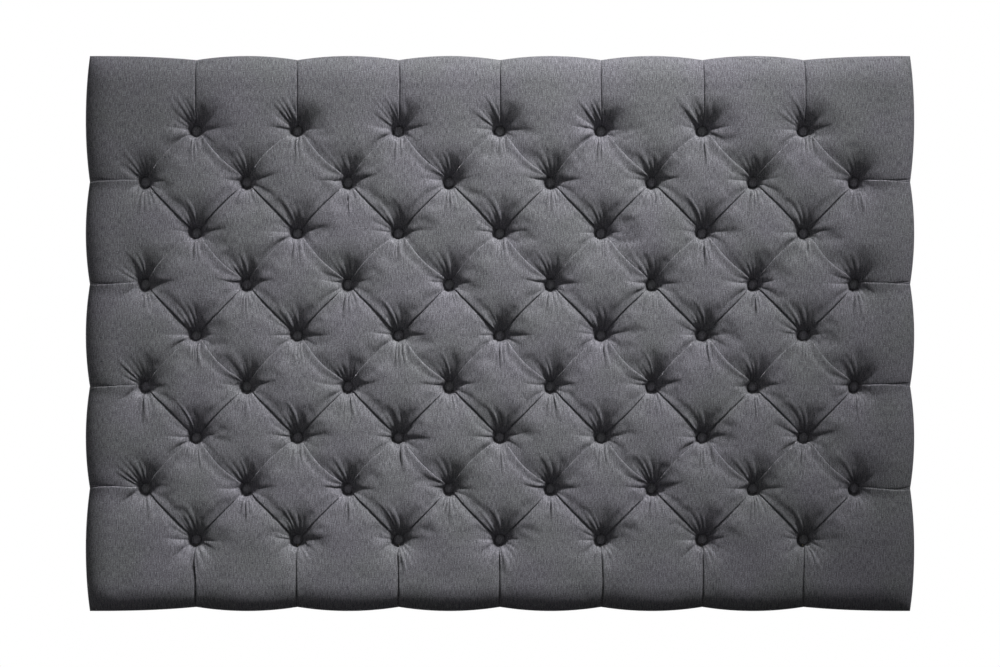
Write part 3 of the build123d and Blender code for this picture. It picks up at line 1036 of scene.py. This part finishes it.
@dataclass
class Settling:
    """Lets the modelled cloth settle on its stuffing, by a cloth simulation on every few grid lines.

    The buttons and the panel's edge hold the cloth fast and the pleats hold it partly, while the
    stuffing presses it outwards and a little spare cloth gathers in wrinkles.
    """

    panel: Panel
    stride: int = 4
    frames: int = 20
    pressure: float = 1.5
    spare_share: float = 0.015
    cap: float = 3 * MM
    held_radius: float = 15 * MM
    still_border: float = 20 * MM
    free_border: float = 95 * MM
    pleat_width: float = 10 * MM
    pleat_hold: float = 0.97

    def hold(self, points: np.ndarray) -> np.ndarray:
        """Works out how firmly the sheet is held.

        Args:
            points: The sheet's points, in rows and columns.

        Returns:
            A weight for each point, from nought to one.
        """
        panel = self.panel
        column = points[..., 0] / panel.half_pitch
        row = (points[..., 1] - panel.tufts_up) / panel.row_rise
        slant = np.minimum(np.abs((column + row + 1) % 2 - 1), np.abs((column - row + 1) % 2 - 1))
        across_pleat = slant * panel.half_pitch / math.sqrt(2)
        inside = (np.abs(column) < panel.last_column) & (np.abs(row) < panel.long_rows)
        weight = np.where(inside, np.exp(-((across_pleat / self.pleat_width) ** 2)) * self.pleat_hold, 0.0)
        for button in panel.buttons():
            place = panel.spot(*button)
            aside = np.hypot(points[..., 0] - place[0], points[..., 1] - place[1])
            weight = np.where(aside < self.held_radius, 1.0, weight)
        weight[:2] = weight[-2:] = 1.0
        weight[:, :2] = weight[:, -2:] = 1.0
        return weight

    def set_up(self, cloth: bpy.types.Object, held: str) -> None:
        """Sets up the simulation of a sheet.

        Args:
            cloth: The sheet.
            held: The name of the vertex group that holds it.
        """
        modifier = cloth.modifiers.new("cloth", "CLOTH")
        settings = modifier.settings
        settings.vertex_group_mass = held
        settings.mass = 0.3
        settings.quality = 5
        settings.tension_stiffness = settings.compression_stiffness = 15
        settings.shear_stiffness = 5
        settings.bending_stiffness = 0.5
        settings.shrink_min = -self.spare_share
        settings.use_pressure = True
        settings.uniform_pressure_force = self.pressure
        settings.effector_weights.gravity = 0
        modifier.collision_settings.use_collision = False
        modifier.point_cache.frame_end = self.frames

    def simulate(self, points: np.ndarray) -> np.ndarray:
        """Runs the simulation.

        Args:
            points: The sheet's points, in rows and columns.

        Returns:
            Where they end.
        """
        rows, columns = points.shape[:2]
        mesh = as_mesh("settling", flat_grid(columns, rows))
        column, row, _ring = grid_places(mesh, columns, rows)
        mesh.vertices.foreach_set("co", points[row, column].ravel())
        cloth = add_object("settling", mesh)
        group = cloth.vertex_groups.new(name="held")
        for index, weight in enumerate(self.hold(points)[row, column].tolist()):
            group.add([index], weight, "REPLACE")
        self.set_up(cloth, group.name)
        for number in range(1, self.frames + 1):
            bpy.context.scene.frame_set(number)
        settled = cloth.evaluated_get(bpy.context.evaluated_depsgraph_get()).data
        ended = np.empty(rows * columns * 3)
        settled.vertices.foreach_get("co", ended)
        found = np.empty_like(points)
        found[row, column] = ended.reshape(-1, 3)
        bpy.data.objects.remove(cloth)
        bpy.data.meshes.remove(mesh)
        bpy.context.scene.frame_set(1)
        return found

    def spread(self, picked: np.ndarray, count: int) -> np.ndarray:
        """Works out how the picked grid lines are carried smoothly to all of them.

        Args:
            picked: The picked lines' numbers.
            count: How many lines there are.

        Returns:
            The weight of each picked line at each line.
        """
        place = np.interp(np.arange(count), picked, np.arange(len(picked)))
        away = np.abs(place[:, None] - np.arange(len(picked))[None, :])
        near = 2 / 3 - away**2 + away**3 / 2
        far = (2 - np.clip(away, 1, 2)) ** 3 / 6
        weights = np.where(away < 1, near, far)
        return weights / weights.sum(axis=1, keepdims=True)

    def settle(self, front: np.ndarray) -> np.ndarray:
        """Adds the simulated moves to the front.

        Args:
            front: Across, up and level for each point, in rows and columns.

        Returns:
            The same after it has settled.
        """
        rows, columns = (
            np.unique(np.append(np.arange(0, count, self.stride), count - 1)) for count in front.shape[:2]
        )
        points = front[np.ix_(rows, columns)]
        moves = self.simulate(points) - points
        size = np.linalg.norm(moves, axis=2, keepdims=True)
        log.info("cloth moves up to %.1f mm, %.1f mm on average", size.max() / MM, size.mean() / MM)
        to_side = self.panel.edge_across - np.abs(points[..., :1])
        to_end = self.panel.edge_up - np.abs(points[..., 1:2])
        border = np.minimum(to_side, to_end) - self.still_border
        moves *= np.minimum(1, self.cap / np.maximum(size, 1e-9)) * swell(border / self.free_border)
        down, along = self.spread(rows, front.shape[0]), self.spread(columns, front.shape[1])
        return front + np.einsum("ra,abk,cb->rck", down, moves, along, optimize=True)


@dataclass
class TuftedCover:
    """The chenille cover: tufted front, rolled edges, sides and the hem turned onto the back."""

    panel: Panel
    finish: Chenille = Chenille()
    steps_per_bay: int = 56
    crowding: float = 0.3
    edge_steps: int = 36
    fine_edge: float = 62 * MM

    def marks(self, edge: float, low_tuft: float, high_tuft: float, bays: int) -> np.ndarray:
        """Places grid lines on one way of the front, so that every pleat lies on a line.

        Args:
            edge: Half the panel's size that way.
            low_tuft: Place of the first line of buttons.
            high_tuft: Place of the last line of buttons.
            bays: Number of half pitches or rows between those.

        Returns:
            The places, in order.
        """
        line = np.linspace(0, bays, bays * self.steps_per_bay + 1)
        line -= self.crowding * np.sin(2 * np.pi * line) / (2 * np.pi)
        step = (high_tuft - low_tuft) / (len(line) - 1)
        middle = low_tuft + line * (high_tuft - low_tuft) / bays
        turns = np.linspace(0, math.pi / 2, self.edge_steps + 1)[1:]
        fine = self.fine_edge * np.sin(turns)
        inner_edge = edge - self.fine_edge
        parts = []
        for tuft in (low_tuft, high_tuft):
            count = int((inner_edge - abs(tuft)) / step) + 1
            flat = np.linspace(abs(tuft), inner_edge, count + 1)[1:]
            parts.append(np.concatenate([flat, inner_edge + fine]))
        return np.concatenate([-parts[0][::-1], middle, parts[1]])

    def rings(self) -> list[tuple[float, float]]:
        """Lists the sides and the hem as rings.

        Returns:
            How far each ring is drawn in, and its level.
        """
        hem, side_level = self.panel.hem_level, self.panel.side_level
        sides = [(0.3 * MM, side_level * share) for share in (0.86, 0.72, 0.58, 0.44, 0.3, 0.16, 0.06)]
        turn = [(0.9 * MM, 0.8 * MM), (2.2 * MM, hem * 0.6), (4.5 * MM, hem)]
        back = [(12 * MM, hem), (20 * MM, hem), (28 * MM, hem), (35 * MM, hem)]
        fold = [(36 * MM, hem * 0.8), (36.2 * MM, hem * 0.4), (35 * MM, hem * 0.1)]
        return sides + turn + back + fold

    def mesh(self) -> bpy.types.Mesh:
        """Builds the cover's mesh: a grid for the front, with its edge extruded for sides and hem.

        Returns:
            The mesh, with its faces pointing inwards.
        """
        panel = self.panel
        tuft_across = panel.last_column * panel.half_pitch
        tuft_up = panel.long_rows * panel.row_rise
        across = self.marks(panel.edge_across, -tuft_across, tuft_across, 2 * panel.last_column)
        low, high = panel.tufts_up - tuft_up, panel.tufts_up + tuft_up
        up = self.marks(panel.edge_up, low, high, 2 * panel.long_rows)
        front = Settling(panel).settle(TuftedCloth(panel, across, up).shape())
        sheet = flat_grid(len(across), len(up))
        edge = rim_of(sheet)
        for _ring in self.rings():
            edge = extrude(sheet, edge, (0, 0, 1))
        mesh = as_mesh("chenille_cover", sheet)
        self.place(mesh, front)
        return mesh

    def place(self, mesh: bpy.types.Mesh, front: np.ndarray) -> None:
        """Moves the vertices of the flat sheet to their places and lays its cloth map.

        Args:
            mesh: The flat sheet, whose third coordinate counts the rings.
            front: Across, up and level for each point of the front.
        """
        rows, columns = front.shape[:2]
        column, row, ring = grid_places(mesh, columns, rows)
        placed = front[row, column]
        panel = self.panel
        drawn, levels, walked = [0.0], [panel.side_level], [0.0]
        for inset, level in self.rings():
            walked.append(walked[-1] + math.hypot(inset - drawn[-1], level - levels[-1]))
            drawn.append(inset)
            levels.append(level)
        beyond = ring > 0
        inset = np.array(drawn)[ring]
        unfolded = placed[:, :2].copy()
        placed[:, 0] *= 1 - inset / panel.edge_across
        placed[:, 1] *= 1 - inset / panel.edge_up
        placed[beyond, 2] = np.array(levels)[ring[beyond]]
        spots = np.stack([placed[:, 0], -placed[:, 2], placed[:, 1] + panel.middle_up], axis=1)
        mesh.vertices.foreach_set("co", spots.ravel())
        further = np.array(walked)[ring]
        mapped = placed[:, :2].copy()
        for axis, (line, last) in enumerate(((column, columns - 1), (row, rows - 1))):
            outward = (line == last).astype(int) - (line == 0)
            mapped[:, axis] = np.where(outward, unfolded[:, axis] + outward * further, mapped[:, axis])
        corner = np.empty(len(mesh.loops), dtype=np.int32)
        mesh.loops.foreach_get("vertex_index", corner)
        uv = mesh.uv_layers.new(name=self.finish.uv_map)
        uv.data.foreach_set("uv", mapped[corner].ravel())
        mesh.polygons.foreach_set("use_smooth", np.ones(len(mesh.polygons), dtype=bool))
        mesh.update()

    def build(self) -> list[bpy.types.Object]:
        """Makes the cover.

        Returns:
            The cover alone.
        """
        mesh = self.mesh()
        mesh.flip_normals()
        cover = declare("chenille_cover", mesh, self.finish.material(), "chenille", "tufted_cover")
        return [cover]


@dataclass
class CoveredButtons:
    """The buttons, each a mould covered in the same chenille, whose yarn colours are drawn lighter here as
    painted light that lifts the buttons out of their dimples' shade.
    """

    panel: Panel
    # Lighter yarn colours than the cover's: painted light standing in for the light that the dimples' shade
    # keeps off the buttons.
    finish: Chenille = Chenille(name="chenille_button", dark="4E4E52", light="8C8B90")
    radius: float = 10.6 * MM
    dome: float = 7.4 * MM
    rim: float = 2.4 * MM
    rim_tuck: float = 0.35
    back_share: float = 0.8
    roundness: float = 0.9
    dome_steps: int = 7
    sides: int = 24
    tilt: float = 0.07
    seed: int = 5

    def one(self) -> bmesh.types.BMesh:
        """Spins one button's profile, with its back at the origin and its dome down Z.

        Returns:
            The button.
        """
        made = bmesh.new()
        outline = [(self.back_share * self.radius, 0.0), (self.radius, self.rim_tuck * self.rim)]
        for step in range(self.dome_steps + 1):
            angle = math.pi / 2 * step / self.dome_steps
            out = self.radius * math.cos(angle) ** self.roundness if step < self.dome_steps else 0.0
            outline.append((out, self.rim + (self.dome - self.rim) * math.sin(angle)))
        profile = [made.verts.new((out, 0, -down)) for out, down in outline]
        edges = [made.edges.new(pair) for pair in zip(profile, profile[1:])]
        bmesh.ops.spin(
            made,
            geom=profile + edges,
            cent=(0, 0, 0),
            axis=(0, 0, 1),
            angle=2 * math.pi,
            steps=self.sides,
            use_merge=True,
        )
        bmesh.ops.remove_doubles(made, verts=made.verts, dist=MERGE_DISTANCE)
        return made

    def build(self) -> list[bpy.types.Object]:
        """Makes all the buttons as one piece, each a little tilted in its dimple.

        Returns:
            The piece alone.
        """
        draws = np.random.default_rng(self.seed)
        parts = []
        for button in self.panel.buttons():
            across, up = self.panel.spot(*button)
            about_x, about_z = draws.normal(0, self.tilt, 2)
            lean = Matrix.Rotation(about_x, 4, "X") @ Matrix.Rotation(about_z, 4, "Z")
            spot = (across, -self.panel.seat, self.panel.middle_up + up)
            part = set_in(self.one(), spot, draws.uniform(0, math.pi), lean)
            bmesh.ops.recalc_face_normals(part, faces=part.faces)
            parts.append(part)
        whole = join(parts)
        cloth = whole.loops.layers.uv.new(self.finish.uv_map)
        for face in whole.faces:
            face.smooth = True
            for corner in face.loops:
                corner[cloth].uv = (corner.vert.co.x, corner.vert.co.z)
        mesh = as_mesh("chenille_buttons", whole)
        return [declare("chenille_buttons", mesh, self.finish.material(), "chenille_button", "buttons")]


@dataclass
class LiningCloth:
    """The black lining: one sheet stretched over the back and turned under at its edges."""

    step: float = 10 * MM
    turned_under: float = 12 * MM
    thickness: float = 0.6 * MM
    sag: float = 4.5 * MM
    sag_run: float = 70 * MM
    unevenness: tuple = ((150 * MM, 0.5 * MM), (45 * MM, 0.25 * MM))
    uneven_run: float = 20 * MM
    staple_dent: float = 0.5 * MM
    dent_width: float = 16 * MM
    cut_out: float = 18 * MM
    keyhole_side: float = 7.5 * MM
    keyhole_below: float = 13.5 * MM
    keyhole_above: float = 10.75 * MM
    plate_half_width: float = 30 * MM
    slack: float = 0.1 * MM
    seed: int = 23

    def openings(self) -> list[tuple[float, float, float, float]]:
        """Lists the cut-outs at the strut bolts and behind the hangers.

        Returns:
            The left, right, low and high side of each.
        """
        bolts = next(mount for mount in frame["record"]["mounts"] if mount["name"] == "strut_bolts")
        across = bolts["dims"]["spacing_x_mm"] / 2 * MM
        up = bolts["dims"]["spacing_y_mm"] / 2 * MM
        half = self.cut_out / 2
        spots = [(x, z, half, half, half) for x in (-across, across) for z in (-up, up)]
        low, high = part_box("hanger_plates")
        hanger_across, hanger_up = high.x - self.plate_half_width, (low.z + high.z) / 2
        keyhole = self.keyhole_side, self.keyhole_below, self.keyhole_above
        spots += [(x, hanger_up, *keyhole) for x in (-hanger_across, hanger_across)]
        return [(x - side, x + side, z - below, z + above) for x, z, side, below, above in spots]

    def lines(self, low: float, high: float, stops: list[float]) -> np.ndarray:
        """Places the grid lines of one way.

        Args:
            low: The first line's place.
            high: The last line's place.
            stops: Places that have a line too.

        Returns:
            The places, in order.
        """
        marks = sorted({low, high, *stops})
        parts = []
        for start, end in zip(marks, marks[1:]):
            count = math.ceil((end - start) / self.step)
            parts.append(np.linspace(start, end, count + 1)[:-1])
        return np.append(np.concatenate(parts), high)

    def free(self, x: np.ndarray, z: np.ndarray) -> np.ndarray:
        """Works out how far points lie from the timber that carries the sheet.

        Args:
            x: The points' places along X.
            z: Their places along Z.

        Returns:
            The distances.
        """
        nearest = np.full_like(x, np.inf)
        for name in RAILS + STILES:
            low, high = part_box(name)
            aside = np.maximum(np.maximum(low.x - x, x - high.x), 0)
            above = np.maximum(np.maximum(low.z - z, z - high.z), 0)
            nearest = np.minimum(nearest, np.hypot(aside, above))
        return nearest

    def sunk(self, across: np.ndarray, up: np.ndarray) -> np.ndarray:
        """Works out how deep the sheet sinks between the timbers and at its staples.

        Args:
            across: Its grid lines' places along X.
            up: Its grid lines' places along Z.

        Returns:
            The depth of each point, in rows and columns.
        """
        x, z = np.meshgrid(across, up)
        draws = np.random.default_rng(self.seed)
        free = self.free(x, z)
        depth = self.sag * swell(free / self.sag_run)
        for step, height in self.unevenness:
            depth += np.abs(hills(draws, across, up, step, height)) * swell(free / self.uneven_run)
        for start, end in islands("lining_staples"):
            middle = (start + end) / 2
            aside = np.hypot(x - middle.x, z - middle.z)
            depth += self.staple_dent * np.exp(-((aside / self.dent_width) ** 2))
        return depth

    def mesh(self) -> bmesh.types.BMesh:
        """Builds the sheet: a grid with the openings cut out, then its edges.

        Returns:
            The sheet.
        """
        low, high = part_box("back_lining")
        openings = self.openings()
        across = self.lines(low.x, high.x, [x for left, right, _, _ in openings for x in (left, right)])
        up = self.lines(low.z, high.z, [z for _, _, bottom, top in openings for z in (bottom, top)])
        sheet = lay_sheet(across, high.y - self.sunk(across, up), up)
        spare = []
        for face in sheet.faces:
            x, _y, z = face.calc_center_median()
            if any(left < x < right and bottom < z < top for left, right, bottom, top in openings):
                spare.append(face)
        bmesh.ops.delete(sheet, geom=spare, context="FACES")
        inner, outer = [], []
        for edge in rim_of(sheet):
            ends = [vert.co for vert in edge.verts]
            at_side = all(place.x in (across[0], across[-1]) or place.z in (up[0], up[-1]) for place in ends)
            (outer if at_side else inner).append(edge)
        extrude(sheet, inner, (0, -self.thickness, 0))
        turned = extrude(sheet, outer, (0, -self.thickness, 0))
        under = extrude(sheet, turned, (0, 0, 0))
        middle, half = (low + high) / 2, (high - low) / 2
        for vert in ends_of(under):
            for axis in (0, 2):
                out = vert.co[axis] - middle[axis]
                if abs(out) > half[axis] - self.slack:
                    vert.co[axis] -= math.copysign(self.turned_under, out)
        return sheet

    def build(self) -> list[bpy.types.Object]:
        """Makes the lining.

        Returns:
            The lining alone.
        """
        lining = add_piece("lining_cloth", [self.mesh()], LINING.material(), "lining", "back_lining")
        return [lining]


@dataclass
class Staples:
    """Staples of round wire, bent at both ends into the cloth."""

    node: str = "lining_staples"
    name: str = "lining_staple_wires"
    wire: float = 1.0 * MM
    bend: float = 1.2 * MM
    leg: float = 1.4 * MM
    sides: int = 8
    bend_steps: int = 4

    def one(self, length: float) -> bmesh.types.BMesh:
        """Bends one staple from wire, lying along X with its legs down Z.

        Args:
            length: How long it is over its crown.

        Returns:
            The staple.
        """
        radius = self.wire / 2
        made, ring = start_ring(radius, self.sides)
        bmesh.ops.translate(made, vec=(0, 0, -self.leg), verts=made.verts)
        ring = extrude(made, ring, (0, 0, self.leg))
        crown = length - 2 * self.bend - self.wire
        for corner, move in ((self.bend, (crown, 0, 0)), (self.bend + crown, (0, 0, -self.leg))):
            turned = bmesh.ops.spin(
                made,
                geom=ring + ends_of(ring),
                cent=(corner, 0, 0),
                axis=(0, 1, 0),
                angle=math.pi / 2,
                steps=self.bend_steps,
            )["geom_last"]
            ring = extrude(made, [item for item in turned if isinstance(item, bmesh.types.BMEdge)], move)
        bmesh.ops.holes_fill(made, edges=rim_of(made))
        bmesh.ops.translate(made, vec=(radius - length / 2, 0, -self.bend - radius), verts=made.verts)
        return made

    def build(self) -> list[bpy.types.Object]:
        """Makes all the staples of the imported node, each where its solid is.

        Returns:
            The staples as one piece.
        """
        parts = []
        for low, high in islands(self.node):
            size, middle = high - low, (low + high) / 2
            turned = Matrix.Rotation(math.radians(90 if size.z > size.x else 0), 4, "Y")
            part = self.one(max(size.x, size.z))
            parts.append(set_in(part, (middle.x, high.y, middle.z), lean=turned))
        return [add_piece(self.name, parts, STAPLE_WIRE.material(), "staple_wire", self.node)]


@dataclass
class HangerScrews:
    """Countersunk screws with a cross recess, through the hanger plates."""

    head: float = 4.0 * MM
    head_height: float = 2.4 * MM
    chamfer: float = 0.25 * MM
    rim_height: float = 0.3 * MM
    shank: float = 2.0 * MM
    point: float = 3 * MM
    tip: float = 0.2 * MM
    arm: float = 2.3 * MM
    arm_half_width: float = 0.5 * MM
    recess: float = 1.3 * MM
    recess_taper: float = 0.55
    sides: int = 32
    sharp: float = 35.0
    seed: int = 3

    def one(self, length: float) -> bmesh.types.BMesh:
        """Builds one screw down from the origin along Z.

        Args:
            length: The screw's length.

        Returns:
            The screw.
        """
        radius, depth = self.head - self.chamfer, 0.0
        made, rim = start_ring(radius, self.sides)
        long, slim = self.arm, self.arm_half_width
        corner = [(long, slim), (slim, slim), (slim, long)]
        quarters = ((1, 1), (-1, 1), (-1, -1), (1, -1))
        outline = [(x * right, y * up) for right, up in quarters for x, y in corner[::right * up]]
        cross = [made.verts.new((x, y, 0)) for x, y in outline]
        slot = [made.edges.new((cross[i - 1], cross[i])) for i in range(len(cross))]
        bmesh.ops.triangle_fill(made, edges=rim + slot, use_beauty=True, normal=(0, 0, 1))
        floor = extrude(made, slot, (0, 0, -self.recess))
        bmesh.ops.scale(made, vec=(self.recess_taper, self.recess_taper, 1), verts=ends_of(floor))
        bmesh.ops.contextual_create(made, geom=floor)
        steps = (
            (self.head, self.rim_height),
            (self.shank, self.head_height),
            (self.shank, length - self.point),
            (self.tip, length),
        )
        for wide, down in steps:
            rim = extrude(made, rim, (0, 0, depth - down))
            bmesh.ops.scale(made, vec=(wide / radius, wide / radius, 1), verts=ends_of(rim))
            radius, depth = wide, down
        bmesh.ops.contextual_create(made, geom=rim)
        return made

    def build(self) -> list[bpy.types.Object]:
        """Makes the screws, each where its solid is, with its recess turned at random.

        Returns:
            The screws as one piece.
        """
        draws = np.random.default_rng(self.seed)
        parts = []
        for low, high in islands("hanger_screws"):
            spot = ((low.x + high.x) / 2, high.y, (low.z + high.z) / 2)
            parts.append(set_in(self.one(high.y - low.y), spot, draws.uniform(0, math.pi / 2)))
        zinc = ZINC.material()
        return [add_piece("cross_head_screws", parts, zinc, "zinc_screw", "hanger_screws", sharp=self.sharp)]


@dataclass
class Stuffing:
    """What lies in the cover: the foam slab, its edge strips, and the twine through them."""

    panel: Panel
    slab_columns: int = 112
    slab_rows: int = 72
    under_cloth: float = 7 * MM
    thinnest: float = 1 * MM
    slab_sharp: float = 60.0
    corner: float = 5 * MM
    corner_share: float = 0.3
    corner_steps: int = 4
    strand: float = 0.45 * MM
    strand_sides: int = 6
    twist: float = 80.0
    twine_steps: int = 10

    def slab(self) -> bpy.types.Object:
        """Builds the slab, pressed in at each button as the cloth over it is.

        Returns:
            The slab.
        """
        low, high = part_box("foam_core")
        panel, dimple = self.panel, Dimple()
        across = np.linspace(low.x, high.x, self.slab_columns + 1)
        up = np.linspace(low.z, high.z, self.slab_rows + 1)
        x, z = np.meshgrid(across, up - panel.middle_up)
        pressed = np.zeros_like(x)
        for button in panel.buttons():
            place = panel.spot(*button)
            pressed = np.maximum(pressed, dimple.depth(x - place[0], z - place[1]))
        level = np.minimum(panel.crown - pressed - self.under_cloth, -low.y)
        level = np.maximum(level, -high.y + self.thinnest)
        slab = lay_sheet(across, -level, up)
        back = extrude(slab, rim_of(slab), (0, 0, 0))
        for vert in ends_of(back):
            vert.co.y = high.y
        bmesh.ops.contextual_create(slab, geom=back)
        made = add_piece("foam_slab", [slab], FOAM.material(), "foam", "foam_core", sharp=self.slab_sharp)
        return made

    def strip(self, node: str) -> bpy.types.Object:
        """Builds one edge strip with its corners rounded.

        Args:
            node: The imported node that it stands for.

        Returns:
            The strip.
        """
        low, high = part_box(node)
        block = bmesh.new()
        stretched = Matrix.Translation((low + high) / 2) @ Matrix.Diagonal((*(high - low), 1))
        bmesh.ops.create_cube(block, size=1, matrix=stretched)
        bmesh.ops.bevel(
            block,
            geom=list(block.edges),
            offset=min(self.corner, self.corner_share * min(high - low)),
            offset_type="OFFSET",
            segments=self.corner_steps,
            profile=0.5,
            affect="EDGES",
            material=-1,
        )
        made = add_piece(f"foam_{node}", [block], FOAM.material(), "foam", node)
        return made

    def twine(self) -> bpy.types.Object:
        """Builds the twine: two strands twisted together from each button to its staple.

        Returns:
            All the twine as one piece.
        """
        parts = []
        twist = Matrix.Rotation(math.radians(self.twist), 3, "Z")
        for low, high in islands("button_twines"):
            move = (0, 0, (high.y - low.y) / self.twine_steps)
            for side in (-1, 1):
                strand, ring = start_ring(self.strand, self.strand_sides)
                bmesh.ops.translate(strand, vec=(side * self.strand, 0, 0), verts=strand.verts)
                for _step in range(self.twine_steps):
                    ring = extrude(strand, ring, move)
                    bmesh.ops.rotate(strand, cent=(0, 0, 0), matrix=twist, verts=ends_of(ring))
                bmesh.ops.holes_fill(strand, edges=rim_of(strand))
                parts.append(set_in(strand, ((low.x + high.x) / 2, low.y, (low.z + high.z) / 2)))
        return add_piece("twisted_twine", parts, TWINE.material(), "twine", "button_twines")

    def build(self) -> list[bpy.types.Object]:
        """Makes the slab, the four strips and the twine, in that order."""
        strips = ("edge_foam_top", "edge_foam_bottom", "edge_foam_left", "edge_foam_right")
        return [self.slab(), *(self.strip(node) for node in strips), self.twine()]


@dataclass(frozen=True)
class PackedPieces:
    """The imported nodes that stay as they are: timber, board, plates, nuts and the hidden staples."""

    softened: float = 0.3 * MM
    softening_steps: int = 2

    def finishes(self) -> dict[str, Finish]:
        """Lists the finishes.

        Returns:
            The finish of each node, by the node's name.
        """
        return {
            **{name: PINE_LEVEL for name in RAILS},
            **{name: PINE_UPRIGHT for name in STILES},
            "plywood_board": PLYWOOD,
            "lap_screws": ZINC,
            "tee_nuts": ZINC,
            "hanger_plates": ZINC,
            "hem_staples": STAPLE_WIRE,
            "twine_staples": STAPLE_WIRE,
        }

    def dress(self) -> list[bpy.types.Object]:
        """Gives each node its material, and softens the edges of the hanger plates.

        Returns:
            The nodes' objects.
        """
        finishes = self.finishes()
        materials = {finish: finish.material() for finish in dict.fromkeys(finishes.values())}
        for name, finish in finishes.items():
            node = frame["nodes"][name]
            if not node.material_slots:
                node.data.materials.append(materials[finish])
            for slot in node.material_slots:
                slot.link = "OBJECT"
                slot.material = materials[finish]
        bevel = frame["nodes"]["hanger_plates"].modifiers.new("softened", "BEVEL")
        bevel.width = self.softened
        bevel.segments = self.softening_steps
        bevel.limit_method = "ANGLE"
        return [frame["nodes"][name] for name in finishes]


@dataclass(frozen=True)
class Studio:
    """Plain soft light, a pale floor and the camera, square to the front."""

    panel: Panel
    picture_width: int = 1000
    pixel: float = 2.195 * MM
    lens: float = 100.0
    sensor: float = 36.0
    world_light: float = 0.15
    floor_up: float = -0.85
    floor_radius: float = 3.2
    floor_sides: int = 96

    def camera(self) -> None:
        """Sets up the camera, which looks straight at the panel's middle."""
        data = bpy.data.cameras.new("front")
        data.lens, data.sensor_width = self.lens, self.sensor
        away = self.picture_width * self.pixel * self.lens / self.sensor
        camera = add_object("front", data)
        camera.location = (0, -self.panel.side_level - away, self.panel.middle_up)
        camera.rotation_euler = (math.radians(90), 0, 0)
        bpy.context.scene.camera = camera

    def lamp(
        self,
        name: str,
        place: tuple,
        size: tuple,
        power: float,
        spread: float = 180.0,
        aim: tuple = (0.0, 0.0),
    ) -> None:
        """Adds one soft box that faces the panel.

        Args:
            name: Its name.
            place: Where it stands.
            size: Its width and height.
            power: Its power in watts.
            spread: The angle in degrees that its light fills.
            aim: How far across and up from the panel's middle it points.
        """
        data = bpy.data.lights.new(name, "AREA")
        data.shape = "RECTANGLE"
        data.size, data.size_y = size
        data.energy = power
        data.spread = math.radians(spread)
        lamp = add_object(name, data)
        lamp.location = place
        way = Vector((aim[0], 0, self.panel.middle_up + aim[1])) - Vector(place)
        lamp.rotation_euler = way.to_track_quat("-Z", "Y").to_euler()

    def told_apart(
        self, tree: bpy.types.NodeTree, kind: str, unseen: dict, seen: dict
    ) -> bpy.types.NodeSocket:
        """Adds two shaders: one for the rays that show a thing, in the view, in gloss or through glass.

        Args:
            tree: The node tree.
            kind: The shaders' type.
            unseen: The values of the shader for all other rays.
            seen: The values of the shader for the rays that show a thing.

        Returns:
            The two, mixed by the kind of ray.
        """
        path = add_node(tree, "ShaderNodeLightPath").outputs
        shows = path["Is Camera Ray"]
        for ray in ("Is Glossy Ray", "Is Transmission Ray"):
            rays = {0: shows, 1: path[ray]}
            shows = add_node(tree, "ShaderNodeMath", links=rays, operation="MAXIMUM").outputs[0]
        dull, pale = (add_node(tree, kind, values).outputs[0] for values in (unseen, seen))
        return add_node(tree, "ShaderNodeMixShader", links={0: shows, 1: dull, 2: pale}).outputs[0]

    def world(self) -> None:
        """Makes the surroundings: white where they are seen, grey as light."""
        made = bpy.data.worlds.new("studio")
        bpy.context.scene.world = made
        tree = clear_tree(made)
        white = linear("FFFFFF")
        light = {"Color": white, "Strength": self.world_light}
        mixed = self.told_apart(tree, "ShaderNodeBackground", light, {"Color": white, "Strength": 1.0})
        add_node(tree, "ShaderNodeOutputWorld", links={"Surface": mixed})

    def floor(self) -> None:
        """Lays the pale floor, below the view from the front."""
        sheet = bmesh.new()
        bmesh.ops.create_circle(sheet, cap_ends=True, segments=self.floor_sides, radius=self.floor_radius)
        bmesh.ops.translate(sheet, vec=(0, 0, self.floor_up), verts=sheet.verts)
        floor = add_object("floor", as_mesh("floor", sheet))
        paint = bpy.data.materials.new("pale_floor")
        tree = clear_tree(paint)
        dull, pale = {"Color": linear("404040")}, {"Color": linear("F8F8F8")}
        mixed = self.told_apart(tree, "ShaderNodeBsdfDiffuse", dull, pale)
        add_node(tree, "ShaderNodeOutputMaterial", links={"Surface": mixed})
        floor.data.materials.append(paint)

    def build(self) -> None:
        """Sets up the whole studio."""
        bpy.context.scene.view_settings.view_transform = "Standard"
        self.camera()
        self.lamp("key", (2.7, -3.2, 6.2), (1.4, 1.1), 22, spread=22, aim=(-0.07, 0.06))
        self.lamp("fill", (-0.6, -4.2, 1.0), (3.4, 2.4), 14)
        self.lamp("rear", (-1.6, 3.6, 2.0), (3.0, 2.0), 120)
        self.world()
        self.floor()


def main() -> None:
    """Builds the headboard piece by piece."""
    logging.basicConfig(level=logging.INFO)
    panel = Panel.from_frame()
    log.info("panel %s", panel)
    makers = (
        TuftedCover(panel),
        CoveredButtons(panel),
        Stuffing(panel),
        LiningCloth(),
        Staples(),
        HangerScrews(),
    )
    for maker in makers:
        for piece in maker.build():
            log.info("%s of %d faces", piece.name, len(piece.data.polygons))
    for node in PackedPieces().dress():
        log.info("%s dressed as packed", node.name)
    Studio(panel).build()


if __name__ == "__main__":
    main()
